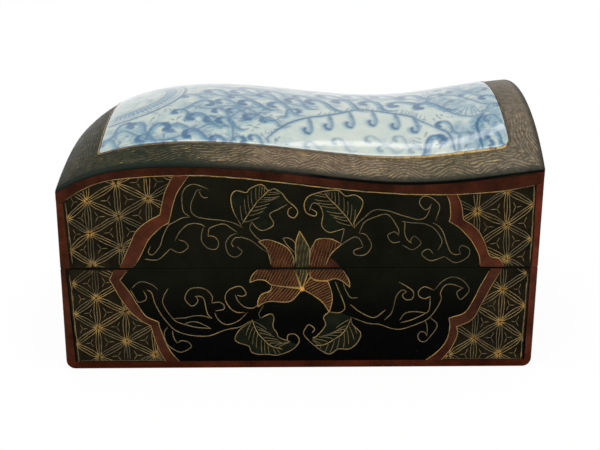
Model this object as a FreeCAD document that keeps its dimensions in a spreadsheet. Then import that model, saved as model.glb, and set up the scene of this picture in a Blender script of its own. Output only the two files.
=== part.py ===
import FreeCAD, Part
import os
import Sketcher

# Lacquered ink box: a rectangular base, a lift-off lid with a doubly curved top that frames a
# porcelain slab, and a lift-out tray with an inkstone, water dropper, ink stick and two brushes.
#
# Frame: +X to the right, +Y to the back, +Z up, millimetres.
# Origin: centre of the base's underside.

Vector = FreeCAD.Vector
doc = FreeCAD.newDocument("ink_box")

# ---------------------------------------------------------------------------------------------
# Driving dimensions
# ---------------------------------------------------------------------------------------------

SIZES = {
    # outside of the box
    "box_length": 260.0,
    "box_depth": 170.0,
    "base_height": 59.0,
    "corner_round": 1.6,
    "foot_round": 5.0,
    "seam_round": 0.7,
    # base
    "wall": 8.0,
    "floor_thick": 6.0,
    "lining_thick": 3.0,
    "lining_above_seam": 5.0,
    "lining_bevel": 1.0,
    "bearer_width": 6.0,
    "bearer_height": 8.0,
    "tray_rest_height": 34.0,
    # lid
    "fit_gap": 0.4,
    "rail_edge": 2.2,
    "rail_thick": 7.0,
    "rail_round": 2.0,
    "core_thick": 5.0,
    "front_rail_width": 12.6,
    "left_rail_width": 20.6,
    "right_rail_width": 15.4,
    "bead_width": 1.2,
    "bead_proud": 0.5,
    "slab_proud": 0.6,
    "slab_bed": 1.0,
    "slab_left_corner": 2.0,
    "slab_right_corner": 5.0,
    # stations of the lid's wave: place (in from the nearer end, or from the middle), height of
    # the boards' top edge there, and how far the arch rises above it
    "left_end_edge": 100.9,
    "left_end_rise": 15.6,
    "shoulder_inset": 18.0,
    "shoulder_edge": 109.6,
    "shoulder_rise": 21.7,
    "brow_inset": 40.0,
    "brow_edge": 114.1,
    "brow_rise": 26.0,
    "crest_inset": 72.0,
    "crest_edge": 115.2,
    "crest_rise": 29.4,
    "slope_x": -10.0,
    "slope_edge": 111.9,
    "slope_rise": 30.4,
    "trough_inset": 74.0,
    "trough_edge": 105.5,
    "trough_rise": 33.0,
    "swell_inset": 34.0,
    "swell_edge": 108.0,
    "swell_rise": 35.8,
    "right_end_edge": 112.3,
    "right_end_rise": 36.0,
    # tray
    "tray_gap": 0.8,
    "tray_height": 24.0,
    "tray_wall": 4.0,
    "tray_floor": 3.0,
    "tray_notch_radius": 11.0,
    "tray_edge_round": 0.8,
    "divider_thick": 3.0,
    "divider_height": 16.0,
    "brush_trough": 32.0,
    # inkstone
    "stone_width": 82.0,
    "stone_height": 16.0,
    "stone_gap": 1.0,
    "stone_corner": 5.0,
    "stone_edge_round": 1.2,
    "stone_rim": 5.0,
    "land_depth": 2.5,
    "land_length": 56.0,
    "well_slope": 12.0,
    "well_depth": 9.0,
    "well_corner": 3.0,
    # water dropper
    "dropper_radius": 22.0,
    "dropper_height": 19.0,
    "dropper_foot_radius": 13.0,
    "dropper_foot_height": 1.5,
    "dropper_shoulder_radius": 9.0,
    "dropper_neck_radius": 4.5,
    "dropper_neck_height": 1.8,
    "dropper_hole_radius": 1.5,
    "dropper_hole_depth": 12.0,
    "dropper_belly_low": 6.0,
    "dropper_belly_high": 11.0,
    "dropper_belly_round": 3.5,
    "spout_radius": 2.9,
    "spout_mouth_radius": 1.9,
    "spout_reach": 27.0,
    "spout_root_height": 9.0,
    "spout_tilt": 68.0,
    "spout_bore": 0.9,
    "spout_bore_depth": 8.0,
    # ink stick
    "stick_length": 74.0,
    "stick_width": 18.0,
    "stick_height": 9.0,
    "stick_round": 1.4,
    "stick_panel_margin": 3.0,
    "stick_panel_depth": 0.5,
    # brushes
    "round_gap": 0.3,
    "large_handle_length": 156.0,
    "large_handle_radius": 3.8,
    "large_collar_length": 14.0,
    "large_collar_radius": 4.8,
    "large_tip_length": 32.0,
    "large_inset": 8.2,
    "small_handle_length": 142.0,
    "small_handle_radius": 3.0,
    "small_collar_length": 11.0,
    "small_collar_radius": 3.8,
    "small_tip_length": 25.0,
    "small_inset": 8.8,
    "handle_bevel": 0.8,
    "collar_bevel": 0.9,
    "node_first": 36.0,
    "node_spacing": 62.0,
    "node_ring_height": 0.3,
    "node_ring_width": 1.6,
    "hair_inset": 1.0,
    "hair_belly": 0.4,
    "hair_belly_at": 9.0,
    "hair_round": 14.0,
    # how far construction blanks run past the faces that trim them
    "blank_margin": 2.0,
    "blank_top": 160.0,
}

sheet = doc.addObject("Spreadsheet::Sheet", "sizes")
for row, (alias, number) in enumerate(SIZES.items(), start=1):
    sheet.set(f"A{row}", alias)
    sheet.set(f"B{row}", str(number))
    sheet.setAlias(f"B{row}", alias)
doc.recompute()


def size(alias):
    """The expression that reads one cell of the sheet."""
    return f"sizes.{alias}"


# Places that several pieces share, as expressions on the sheet.
END = "sizes.box_length / 2"
SIDE = "sizes.box_depth / 2"
WALL_END = f"({END} - sizes.wall)"
WALL_SIDE = f"({SIDE} - sizes.wall)"
LINING_END = f"({WALL_END} - sizes.lining_thick)"
LINING_SIDE = f"({WALL_SIDE} - sizes.lining_thick)"
LID_END = f"({WALL_END} + sizes.fit_gap)"
LID_SIDE = f"({WALL_SIDE} + sizes.fit_gap)"
LINING_TOP = "(sizes.base_height + sizes.lining_above_seam)"
TRAY_END = f"({LINING_END} - sizes.tray_gap)"
TRAY_SIDE = f"({LINING_SIDE} - sizes.tray_gap)"
TRAY_IN_END = f"({TRAY_END} - sizes.tray_wall)"
TRAY_IN_SIDE = f"({TRAY_SIDE} - sizes.tray_wall)"
TRAY_TOP = "(sizes.tray_rest_height + sizes.tray_height)"
DECK = "(sizes.tray_rest_height + sizes.tray_floor)"
TROUGH_FRONT = f"({TRAY_IN_SIDE} - sizes.brush_trough)"
BAY_BACK = f"({TROUGH_FRONT} - sizes.divider_thick)"
STONE_BAY = "(sizes.stone_width / 2 + sizes.stone_gap)"
SLAB_LEFT = f"({END} - sizes.left_rail_width - sizes.bead_width)"
SLAB_RIGHT = f"({END} - sizes.right_rail_width - sizes.bead_width)"
SLAB_SIDE = f"({SIDE} - sizes.front_rail_width - sizes.bead_width)"

parts = []


# ---------------------------------------------------------------------------------------------
# Helpers
# ---------------------------------------------------------------------------------------------

def keep(item, label):
    """Label a finished sub-part and list it for export."""
    item.Label = label
    parts.append(item)
    return item


def evaluate(expression):
    """The number an expression has now, for a sketch's first guess."""
    return float(sheet.evalExpression(expression.replace("sizes.", "")))


def origin_plane(body, role):
    return next(feature for feature in body.Origin.OriginFeatures if feature.Role == role)


def plane_sketch(body, name, plane, lift="0"):
    """An empty sketch on one of the body's own origin planes, moved along its normal by lift."""
    sketch = body.newObject("Sketcher::SketchObject", name)
    sketch.AttachmentSupport = (origin_plane(body, plane), [""])
    sketch.MapMode = "FlatFace"
    sketch.setExpression(".AttachmentOffset.Base.z", lift)
    return sketch


def polygon_sketch(body, name, plane, corners, lift="0", rounds=None):
    """A closed polygon whose corners are held at (expression, expression) from the origin.

    rounds gives the radius, as an expression, of each corner that is rounded, by its number.
    """
    sketch = plane_sketch(body, name, plane, lift)
    points = [Vector(evaluate(across), evaluate(up), 0) for across, up in corners]
    count = len(points)
    for index in range(count):
        sketch.addGeometry(Part.LineSegment(points[index], points[(index + 1) % count]), False)
    for index in range(count):
        sketch.addConstraint(Sketcher.Constraint("Coincident", index, 2, (index + 1) % count, 1))
    for index, (across, up) in enumerate(corners):
        for kind, expression, coordinate in (("DistanceX", across, points[index].x),
                                             ("DistanceY", up, points[index].y)):
            held = sketch.addConstraint(Sketcher.Constraint(kind, -1, 1, index, 1, coordinate))
            sketch.setExpression(f"Constraints[{held}]", expression)
    sketch.solve()
    for corner, radius in (rounds or {}).items():
        before, after = points[corner - 1], points[(corner + 1) % count]
        here = points[corner]
        sketch.fillet(corner - 1, corner, here + (before - here) * 0.1, here + (after - here) * 0.1,
                      evaluate(radius), True, True)
        arc = sketch.GeometryCount - 2
        held = sketch.addConstraint(Sketcher.Constraint("Radius", arc, evaluate(radius)))
        sketch.setExpression(f"Constraints[{held}]", radius)
    return sketch


def pad(body, name, sketch, length, midplane=False):
    feature = body.newObject("PartDesign::Pad", name)
    feature.Profile = sketch
    feature.setExpression("Length", length)
    feature.Midplane = midplane
    return feature


def cut_through(body, name, sketch, length):
    """Cut a sketch's outline to both sides of its plane, and make sure that it removed something."""
    doc.recompute()
    before = body.Shape.Volume
    feature = body.newObject("PartDesign::Pocket", name)
    feature.Profile = sketch
    feature.setExpression("Length", length)
    feature.Midplane = True
    doc.recompute()
    if not body.Shape.Volume < before:
        raise RuntimeError(f"{name} cuts nothing")
    return feature


def turn(body, name, sketch):
    """Revolve a profile about the sketch's horizontal axis."""
    feature = body.newObject("PartDesign::Revolution", name)
    feature.Profile = sketch
    feature.ReferenceAxis = (sketch, ["H_Axis"])
    feature.Angle = 360
    return feature


def dress(body, name, kind, value, chosen):
    """Fillet or chamfer those edges of the body's tip for which chosen(edge) is true."""
    doc.recompute()
    base = body.Tip
    names = [f"Edge{number}" for number, edge in enumerate(base.Shape.Edges, start=1) if chosen(edge)]
    if not names:
        raise RuntimeError(f"{name} finds no edge")
    feature = body.newObject(f"PartDesign::{kind}", name)
    feature.Base = (base, names)
    feature.setExpression("Radius" if kind == "Fillet" else "Size", value)
    doc.recompute()
    return feature


def spans(edge, **limits):
    """True if the edge's box has the given limits, such as ZMin=0, ZMax=0."""
    return all(abs(getattr(edge.BoundBox, limit) - number) < 1e-4 for limit, number in limits.items())


def upright(edge):
    return edge.BoundBox.XLength < 1e-4 and edge.BoundBox.YLength < 1e-4


def rectangle(left, right, front, back):
    return [(left, front), (right, front), (right, back), (left, back)]


def block(name, left, right, front, back, bottom, top):
    """A body with one rectangular pad between six expressions."""
    body = doc.addObject("PartDesign::Body", name)
    outline = polygon_sketch(body, f"{name}_plan", "XY_Plane", rectangle(left, right, front, back))
    pad(body, f"{name}_pad", outline, f"({top}) - ({bottom})")
    body.setExpression(".Placement.Base.z", bottom)
    return body


def prism(name, corners):
    """An upright construction blank on a polygon, taller than the whole box."""
    body = doc.addObject("PartDesign::Body", name)
    outline = polygon_sketch(body, f"{name}_plan", "XY_Plane", corners)
    pad(body, f"{name}_pad", outline, "sizes.blank_top + sizes.blank_margin")
    body.setExpression(".Placement.Base.z", "-sizes.blank_margin")
    return body


def boolean(kind, name, base, tool):
    result = doc.addObject(f"Part::{kind}", name)
    result.Base = base
    result.Tool = tool
    return result


def four_sectors(name, outer, inner):
    """Blanks that part a rectangular frame along the lines from its outer to its inner corners.

    outer and inner are (left, right, front, back) expressions.
    """
    over = "sizes.blank_margin"

    def corner(side, across_end, up_end):
        outer_x, outer_y = outer[across_end], outer[up_end]
        inner_x, inner_y = inner[across_end], inner[up_end]
        near, far = (outer_x, outer_y), (inner_x, inner_y)
        start, other = (near, far) if side == "out" else (far, near)
        share = f"({over} / sizes.wall)"
        return tuple(f"({a}) + (({a}) - ({b})) * {share}" for a, b in zip(start, other))

    left, right, front, back = range(4)
    outlines = {
        "front": [("out", left, front), ("out", right, front), ("in", right, front), ("in", left, front)],
        "back": [("out", right, back), ("out", left, back), ("in", left, back), ("in", right, back)],
        "left": [("out", left, back), ("out", left, front), ("in", left, front), ("in", left, back)],
        "right": [("out", right, front), ("out", right, back), ("in", right, back), ("in", right, front)],
    }
    return {side: prism(f"{name}_{side}", [corner(*choice) for choice in outline])
            for side, outline in outlines.items()}


BOX_OUTLINE = (f"-({END})", END, f"-({SIDE})", SIDE)
WALL_OUTLINE = (f"-{WALL_END}", WALL_END, f"-{WALL_SIDE}", WALL_SIDE)
LID_OUTLINE = (f"-{LID_END}", LID_END, f"-{LID_SIDE}", LID_SIDE)
half_depth = evaluate(SIDE)
seam = SIZES["base_height"]


# ---------------------------------------------------------------------------------------------
# Base: a rounded shell, parted at its mitres into four boards
# ---------------------------------------------------------------------------------------------

board_sectors = four_sectors("board_sector", BOX_OUTLINE, WALL_OUTLINE)


def make_base_boards():
    shell = block("base_shell", *BOX_OUTLINE, "0", size("base_height"))
    dress(shell, "foot_fillet", "Fillet", size("foot_round"),
          lambda edge: spans(edge, ZMin=0, ZMax=0, YMin=-half_depth, YMax=half_depth))
    dress(shell, "face_fillet", "Fillet", size("corner_round"),
          lambda edge: (spans(edge, YMin=-half_depth, YMax=-half_depth)
                        or spans(edge, YMin=half_depth, YMax=half_depth)) and not spans(edge, ZMin=seam))
    dress(shell, "seam_fillet", "Fillet", size("seam_round"), lambda edge: spans(edge, ZMin=seam, ZMax=seam))
    hollow = polygon_sketch(shell, "base_hollow", "XY_Plane", rectangle(*WALL_OUTLINE))
    cut_through(shell, "base_hollow_cut", hollow, "sizes.base_height * 3")
    for side, sector in board_sectors.items():
        keep(boolean("Common", f"base_{side}", shell, sector), f"base_{side}_board")


def make_base_inside():
    keep(block("base_bottom", *WALL_OUTLINE, "0", size("floor_thick")), "base_bottom_board")
    floor = size("floor_thick")
    linings = {
        "front": (f"-{WALL_END}", WALL_END, f"-{WALL_SIDE}", f"-{LINING_SIDE}"),
        "back": (f"-{WALL_END}", WALL_END, LINING_SIDE, WALL_SIDE),
        "left": (f"-{WALL_END}", f"-{LINING_END}", f"-{LINING_SIDE}", LINING_SIDE),
        "right": (LINING_END, WALL_END, f"-{LINING_SIDE}", LINING_SIDE),
    }
    rim = evaluate(LINING_TOP) - evaluate(floor)
    outer_faces = {
        "front": {"YMin": -evaluate(WALL_SIDE), "YMax": -evaluate(WALL_SIDE)},
        "back": {"YMin": evaluate(WALL_SIDE), "YMax": evaluate(WALL_SIDE)},
        "left": {"XMin": -evaluate(WALL_END), "XMax": -evaluate(WALL_END)},
        "right": {"XMin": evaluate(WALL_END), "XMax": evaluate(WALL_END)},
    }
    for side, outline in linings.items():
        strip = block(f"lining_{side}", *outline, floor, LINING_TOP)
        dress(strip, f"lining_{side}_bevel", "Chamfer", size("lining_bevel"),
              lambda edge, face=outer_faces[side]: spans(edge, ZMin=rim, ZMax=rim, **face))
        keep(strip, f"lining_{side}")
    for side, outline in {
        "left": (f"-{LINING_END}", f"-{LINING_END} + sizes.bearer_width", f"-{LINING_SIDE}", LINING_SIDE),
        "right": (f"{LINING_END} - sizes.bearer_width", LINING_END, f"-{LINING_SIDE}", LINING_SIDE),
    }.items():
        bearer = block(f"bearer_{side}", *outline,
                       "sizes.tray_rest_height - sizes.bearer_height", size("tray_rest_height"))
        keep(bearer, f"tray_bearer_{side}")


# ---------------------------------------------------------------------------------------------
# Lid: arched sections along the wave, lofted into one form, and the layers cut from that form
# ---------------------------------------------------------------------------------------------

STATIONS = {
    "left_end": f"-({END})",
    "shoulder": f"sizes.shoulder_inset - {END}",
    "brow": f"sizes.brow_inset - {END}",
    "crest": f"sizes.crest_inset - {END}",
    "slope": size("slope_x"),
    "trough": f"{END} - sizes.trough_inset",
    "swell": f"{END} - sizes.swell_inset",
    "right_end": END,
}


def arch_section(station, place):
    """One cross-section of the lid: a circular arch on two upright sides."""
    crown_rise = f"({size(station + '_rise')} - sizes.rail_edge)"
    radius = f"(({SIDE})^2 + {crown_rise}^2) / (2 * {crown_rise})"
    centre = f"{size(station + '_edge')} + {size(station + '_rise')} - {radius}"
    floor = "sizes.base_height / 2"

    r, cz, y, z = (evaluate(text) for text in (radius, centre, SIDE, floor))
    spring = cz + (r * r - y * y) ** 0.5
    crown = Part.Arc(Vector(y, spring, 0), Vector(0, cz + r, 0), Vector(-y, spring, 0))
    sketch = doc.addObject("Sketcher::SketchObject", f"section_{station}")
    sketch.Placement.Rotation = FreeCAD.Rotation(Vector(0, 1, 0), Vector(0, 0, 1), Vector(1, 0, 0), "ZXY")
    sketch.setExpression(".Placement.Base.x", place)
    sketch.addGeometry([
        crown,
        Part.LineSegment(Vector(-y, spring, 0), Vector(-y, z, 0)),
        Part.LineSegment(Vector(-y, z, 0), Vector(y, z, 0)),
        Part.LineSegment(Vector(y, z, 0), Vector(y, spring, 0)),
    ], False)
    start, end, middle = 1, 2, 3
    arch, left_side, base, right_side = range(4)
    upright = -2
    sketch.addConstraint([
        Sketcher.Constraint("Coincident", arch, end, left_side, start),
        Sketcher.Constraint("Coincident", left_side, end, base, start),
        Sketcher.Constraint("Coincident", base, end, right_side, start),
        Sketcher.Constraint("Coincident", right_side, end, arch, start),
        Sketcher.Constraint("Vertical", left_side),
        Sketcher.Constraint("Vertical", right_side),
        Sketcher.Constraint("PointOnObject", arch, middle, upright),
        Sketcher.Constraint("Symmetric", base, start, base, end, upright),
    ])
    for constraint, expression in (
        (Sketcher.Constraint("Radius", arch, r), radius),
        (Sketcher.Constraint("DistanceY", -1, 1, arch, middle, cz), centre),
        (Sketcher.Constraint("DistanceX", -1, 1, base, end, y), SIDE),
        (Sketcher.Constraint("DistanceY", -1, 1, base, end, z), floor),
    ):
        held = sketch.addConstraint(constraint)
        sketch.setExpression(f"Constraints[{held}]", expression)
    return sketch


sections = [arch_section(station, place) for station, place in STATIONS.items()]


def form(name, raised):
    """The lid's solid form, raised (or lowered) as a whole by an expression."""
    loft = doc.addObject("Part::Loft", name)
    loft.Sections = sections
    loft.Solid = True
    loft.Ruled = False
    loft.setExpression(".Placement.Base.z", raised)
    return loft


form_top = form("form_top", "0")
form_seat = form("form_seat", "-sizes.rail_edge")
form_rail_under = form("form_rail_under", "-sizes.rail_thick")
form_core_under = form("form_core_under", "-(sizes.rail_thick + sizes.core_thick)")
form_slab_top = form("form_slab_top", "sizes.slab_proud")
form_slab_under = form("form_slab_under", "sizes.slab_bed - sizes.rail_thick")
form_bead_top = form("form_bead_top", "sizes.bead_proud")


def rounded_form(name, base):
    """A form with its upright corners and its top rim rounded."""
    doc.recompute()
    rounded = []
    for number, edge in enumerate(base.Shape.Edges, start=1):
        if upright(edge):
            rounded.append((number, SIZES["corner_round"], SIZES["corner_round"]))
        elif edge.BoundBox.ZMin > seam:
            rounded.append((number, SIZES["rail_round"], SIZES["rail_round"]))
    fillet = doc.addObject("Part::Fillet", name)
    fillet.Base = base
    fillet.Edges = rounded
    return fillet


def lid_blank(name, bottom):
    blank = block(name, *BOX_OUTLINE, bottom, size("blank_top"))
    dress(blank, f"{name}_corners", "Fillet", size("corner_round"), upright)
    return blank


def make_lid_boards():
    blank = lid_blank("lid_blank", size("base_height"))
    dress(blank, "lid_seam_fillet", "Fillet", size("seam_round"), lambda edge: spans(edge, ZMin=0, ZMax=0))
    shaped = boolean("Common", "lid_shaped", blank, form_seat)
    walls = boolean("Cut", "lid_walls", shaped, prism("lid_hollow", rectangle(*LID_OUTLINE)))
    for side, sector in board_sectors.items():
        keep(boolean("Common", f"lid_{side}", walls, sector), f"lid_{side}_board")


def rounded_window(name, margin):
    """An upright blank on the slab's outline, grown by margin."""
    window = prism(name, rectangle(f"-({SLAB_LEFT} + {margin})", f"{SLAB_RIGHT} + {margin}",
                                   f"-({SLAB_SIDE} + {margin})", f"{SLAB_SIDE} + {margin}"))
    dress(window, f"{name}_left_corners", "Fillet", f"sizes.slab_left_corner + {margin}",
          lambda edge: upright(edge) and edge.BoundBox.XMax < 0)
    dress(window, f"{name}_right_corners", "Fillet", f"sizes.slab_right_corner + {margin}",
          lambda edge: upright(edge) and edge.BoundBox.XMin > 0)
    return window


def make_lid_top():
    layer = boolean("Cut", "top_layer", rounded_form("top_rounded", form_top), form_rail_under)
    wall_ring = boolean("Cut", "wall_ring", lid_blank("wall_blank", size("base_height")),
                        prism("wall_hollow", rectangle(*LID_OUTLINE)))
    wall_zone = boolean("Common", "wall_zone", wall_ring, form_seat)
    frame = boolean("Cut", "top_frame", layer, wall_zone)
    window = rounded_window("bead_window", size("bead_width"))
    open_frame = boolean("Cut", "open_frame", frame, window)
    window_outline = (f"-({SLAB_LEFT} + sizes.bead_width)", f"{SLAB_RIGHT} + sizes.bead_width",
                      f"-({SLAB_SIDE} + sizes.bead_width)", f"{SLAB_SIDE} + sizes.bead_width")
    rail_sectors = four_sectors("rail_sector", BOX_OUTLINE, window_outline)
    for side, sector in rail_sectors.items():
        keep(boolean("Common", f"rail_{side}", open_frame, sector), f"top_rail_{side}")

    inside = prism("core_blank", rectangle(*LID_OUTLINE))
    core = boolean("Cut", "core", boolean("Common", "core_upper", inside, form_rail_under), form_core_under)
    keep(core, "lid_core_board")

    slab_window = rounded_window("slab_window", "0")
    bed = boolean("Cut", "bed", boolean("Common", "bed_upper", slab_window, form_slab_under), form_rail_under)
    keep(bed, "porcelain_bed")
    slab = boolean("Cut", "slab", boolean("Common", "slab_upper", slab_window, form_slab_top),
                   form_slab_under)
    keep(slab, "porcelain_slab")
    ring = boolean("Cut", "bead_ring", window, slab_window)
    bead = boolean("Cut", "bead", boolean("Common", "bead_upper", ring, form_bead_top), form_rail_under)
    keep(bead, "slab_bead")


# ---------------------------------------------------------------------------------------------
# Lift-out tray
# ---------------------------------------------------------------------------------------------

BAY_CENTRE = f"(({BAY_BACK}) - {TRAY_IN_SIDE}) / 2"
SIDE_BAY_CENTRE = f"({STONE_BAY} + sizes.divider_thick + {TRAY_IN_END}) / 2"


def finger_notch(body, name):
    """A half-round bite out of the middle of an end wall's top edge."""
    sketch = plane_sketch(body, f"{name}_round", "YZ_Plane")
    top = evaluate(size("tray_height"))
    radius = evaluate(size("tray_notch_radius"))
    sketch.addGeometry(Part.Circle(Vector(0, top, 0), Vector(0, 0, 1), radius), False)
    vertical_axis = -2
    sketch.addConstraint(Sketcher.Constraint("PointOnObject", 0, 3, vertical_axis))
    height = sketch.addConstraint(Sketcher.Constraint("DistanceY", -1, 1, 0, 3, top))
    sketch.setExpression(f"Constraints[{height}]", size("tray_height"))
    held = sketch.addConstraint(Sketcher.Constraint("Radius", 0, radius))
    sketch.setExpression(f"Constraints[{held}]", size("tray_notch_radius"))
    cut_through(body, name, sketch, "sizes.box_length * 2")


def make_tray():
    rest = size("tray_rest_height")
    height = SIZES["tray_height"]
    walls = {
        "front": (f"-{TRAY_END}", TRAY_END, f"-{TRAY_SIDE}", f"-{TRAY_IN_SIDE}"),
        "back": (f"-{TRAY_END}", TRAY_END, TRAY_IN_SIDE, TRAY_SIDE),
        "left": (f"-{TRAY_END}", f"-{TRAY_IN_END}", f"-{TRAY_IN_SIDE}", TRAY_IN_SIDE),
        "right": (TRAY_IN_END, TRAY_END, f"-{TRAY_IN_SIDE}", TRAY_IN_SIDE),
    }
    for side, outline in walls.items():
        wall = block(f"tray_{side}_blank", *outline, rest, TRAY_TOP)
        run = "XLength" if side in ("front", "back") else "YLength"
        dress(wall, f"tray_{side}_soft", "Fillet", size("tray_edge_round"),
              lambda edge, run=run: spans(edge, ZMin=height, ZMax=height)
              and getattr(edge.BoundBox, run) > SIZES["tray_wall"] + 1)
        if side in ("left", "right"):
            finger_notch(wall, f"tray_{side}_notch")
        keep(wall, f"tray_{side}_wall")
    keep(block("tray_deck", f"-{TRAY_IN_END}", TRAY_IN_END, f"-{TRAY_IN_SIDE}", TRAY_IN_SIDE, rest, DECK),
         "tray_floor_board")
    top = f"{DECK} + sizes.divider_height"
    outer = f"({STONE_BAY} + sizes.divider_thick)"
    dividers = {
        "long": (f"-{TRAY_IN_END}", TRAY_IN_END, BAY_BACK, TROUGH_FRONT),
        "left": (f"-{outer}", f"-{STONE_BAY}", f"-{TRAY_IN_SIDE}", BAY_BACK),
        "right": (STONE_BAY, outer, f"-{TRAY_IN_SIDE}", BAY_BACK),
    }
    for name, outline in dividers.items():
        keep(block(f"divider_{name}", *outline, DECK, top), f"tray_divider_{name}")


# ---------------------------------------------------------------------------------------------
# Writing things
# ---------------------------------------------------------------------------------------------

def make_inkstone():
    front = f"(sizes.stone_gap - {TRAY_IN_SIDE})"
    back = f"({BAY_BACK} - sizes.stone_gap)"
    half = "sizes.stone_width / 2"
    stone = block("stone", f"-({half})", half, front, back, DECK, f"{DECK} + sizes.stone_height")
    dress(stone, "stone_corners", "Fillet", size("stone_corner"), upright)
    land = "sizes.stone_height - sizes.land_depth"
    well = "sizes.stone_height - sizes.well_depth"
    land_front = f"{front} + sizes.stone_rim"
    land_back = f"{land_front} + sizes.land_length"
    well_front = f"{land_back} + sizes.well_slope"
    well_back = f"{back} - sizes.stone_rim"
    above = "sizes.stone_height + sizes.blank_margin"
    hollow = polygon_sketch(stone, "stone_hollow", "YZ_Plane", [
        (land_front, above), (land_front, land), (land_back, land),
        (well_front, well), (well_back, well), (well_back, above)])
    cut_through(stone, "stone_hollow_cut", hollow, "sizes.stone_width - 2 * sizes.stone_rim")
    inner = SIZES["stone_width"] / 2 - SIZES["stone_rim"]
    dress(stone, "hollow_corners", "Fillet", size("well_corner"),
          lambda edge: upright(edge) and abs(abs(edge.BoundBox.XMin) - inner) < 1e-4)
    height = SIZES["stone_height"]
    dress(stone, "stone_edges", "Fillet", size("stone_edge_round"),
          lambda edge: spans(edge, ZMin=height, ZMax=height))
    keep(stone, "inkstone")


def make_dropper():
    """A small squat jar, turned about its upright axis, with a filling hole and a spout."""
    jar = doc.addObject("PartDesign::Body", "dropper")
    shoulder = "sizes.dropper_height - sizes.dropper_neck_height"
    # the profile lies on its side, and the body is stood up by its placement
    profile = polygon_sketch(jar, "dropper_profile", "XY_Plane", [
        ("0", "0"), ("0", size("dropper_foot_radius")),
        (size("dropper_foot_height"), size("dropper_foot_radius")),
        (size("dropper_belly_low"), size("dropper_radius")),
        (size("dropper_belly_high"), size("dropper_radius")),
        (shoulder, size("dropper_shoulder_radius")),
        (shoulder, size("dropper_neck_radius")),
        (size("dropper_height"), size("dropper_neck_radius")),
        (size("dropper_height"), size("dropper_hole_radius")),
        ("sizes.dropper_height - sizes.dropper_hole_depth", size("dropper_hole_radius")),
        ("sizes.dropper_height - sizes.dropper_hole_depth", "0")],
        rounds={belly: size("dropper_belly_round") for belly in (3, 4)})
    turn(jar, "dropper_turned", profile)
    spout = jar.newObject("PartDesign::AdditiveCone", "spout")
    spout.setExpression("Radius1", size("spout_radius"))
    spout.setExpression("Radius2", size("spout_mouth_radius"))
    spout.setExpression("Height", size("spout_reach"))
    spout.setExpression(".Placement.Base.x", size("spout_root_height"))
    tilt = FreeCAD.Rotation(Vector(0, 1, 0), 90 - SIZES["spout_tilt"])
    spout.Placement.Rotation = tilt
    bore = jar.newObject("PartDesign::SubtractiveCylinder", "spout_bore")
    bore.setExpression("Radius", size("spout_bore"))
    bore.setExpression("Height", "sizes.spout_bore_depth + sizes.blank_margin")
    along = tilt.multVec(Vector(0, 0, SIZES["spout_reach"] - SIZES["spout_bore_depth"]))
    bore.Placement = FreeCAD.Placement(along + Vector(SIZES["spout_root_height"], 0, 0), tilt)
    jar.Placement.Rotation = FreeCAD.Rotation(Vector(0, 1, 0), -90)
    jar.setExpression(".Placement.Base.x", f"-{SIDE_BAY_CENTRE}")
    jar.setExpression(".Placement.Base.y", BAY_CENTRE)
    jar.setExpression(".Placement.Base.z", DECK)
    keep(jar, "water_dropper")


def make_ink_stick():
    half = "sizes.stick_width / 2"
    half_run = "sizes.stick_length / 2"
    stick = block("stick", f"{SIDE_BAY_CENTRE} - {half}", f"{SIDE_BAY_CENTRE} + {half}",
                  f"{BAY_CENTRE} - {half_run}", f"{BAY_CENTRE} + {half_run}",
                  DECK, f"{DECK} + sizes.stick_height")
    dress(stick, "stick_edges", "Fillet", size("stick_round"), lambda edge: True)
    inset = "sizes.stick_panel_margin"
    panel = polygon_sketch(stick, "stick_panel", "XY_Plane", rectangle(
        f"{SIDE_BAY_CENTRE} - {half} + {inset}", f"{SIDE_BAY_CENTRE} + {half} - {inset}",
        f"{BAY_CENTRE} - {half_run} + {inset}", f"{BAY_CENTRE} + {half_run} - {inset}"),
        lift=size("stick_height"))
    cut_through(stick, "stick_panel_cut", panel, "sizes.stick_panel_depth * 2")
    keep(stick, "ink_stick")


def turned_piece(name, corners, start, across, up, rounds=None):
    """A body turned about a line along X, through (start, across, up)."""
    body = doc.addObject("PartDesign::Body", name)
    profile = polygon_sketch(body, f"{name}_profile", "XY_Plane", corners, rounds=rounds)
    turn(body, f"{name}_turned", profile)
    for letter, expression in zip("xyz", (start, across, up)):
        body.setExpression(f".Placement.Base.{letter}", expression)
    return body


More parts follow.
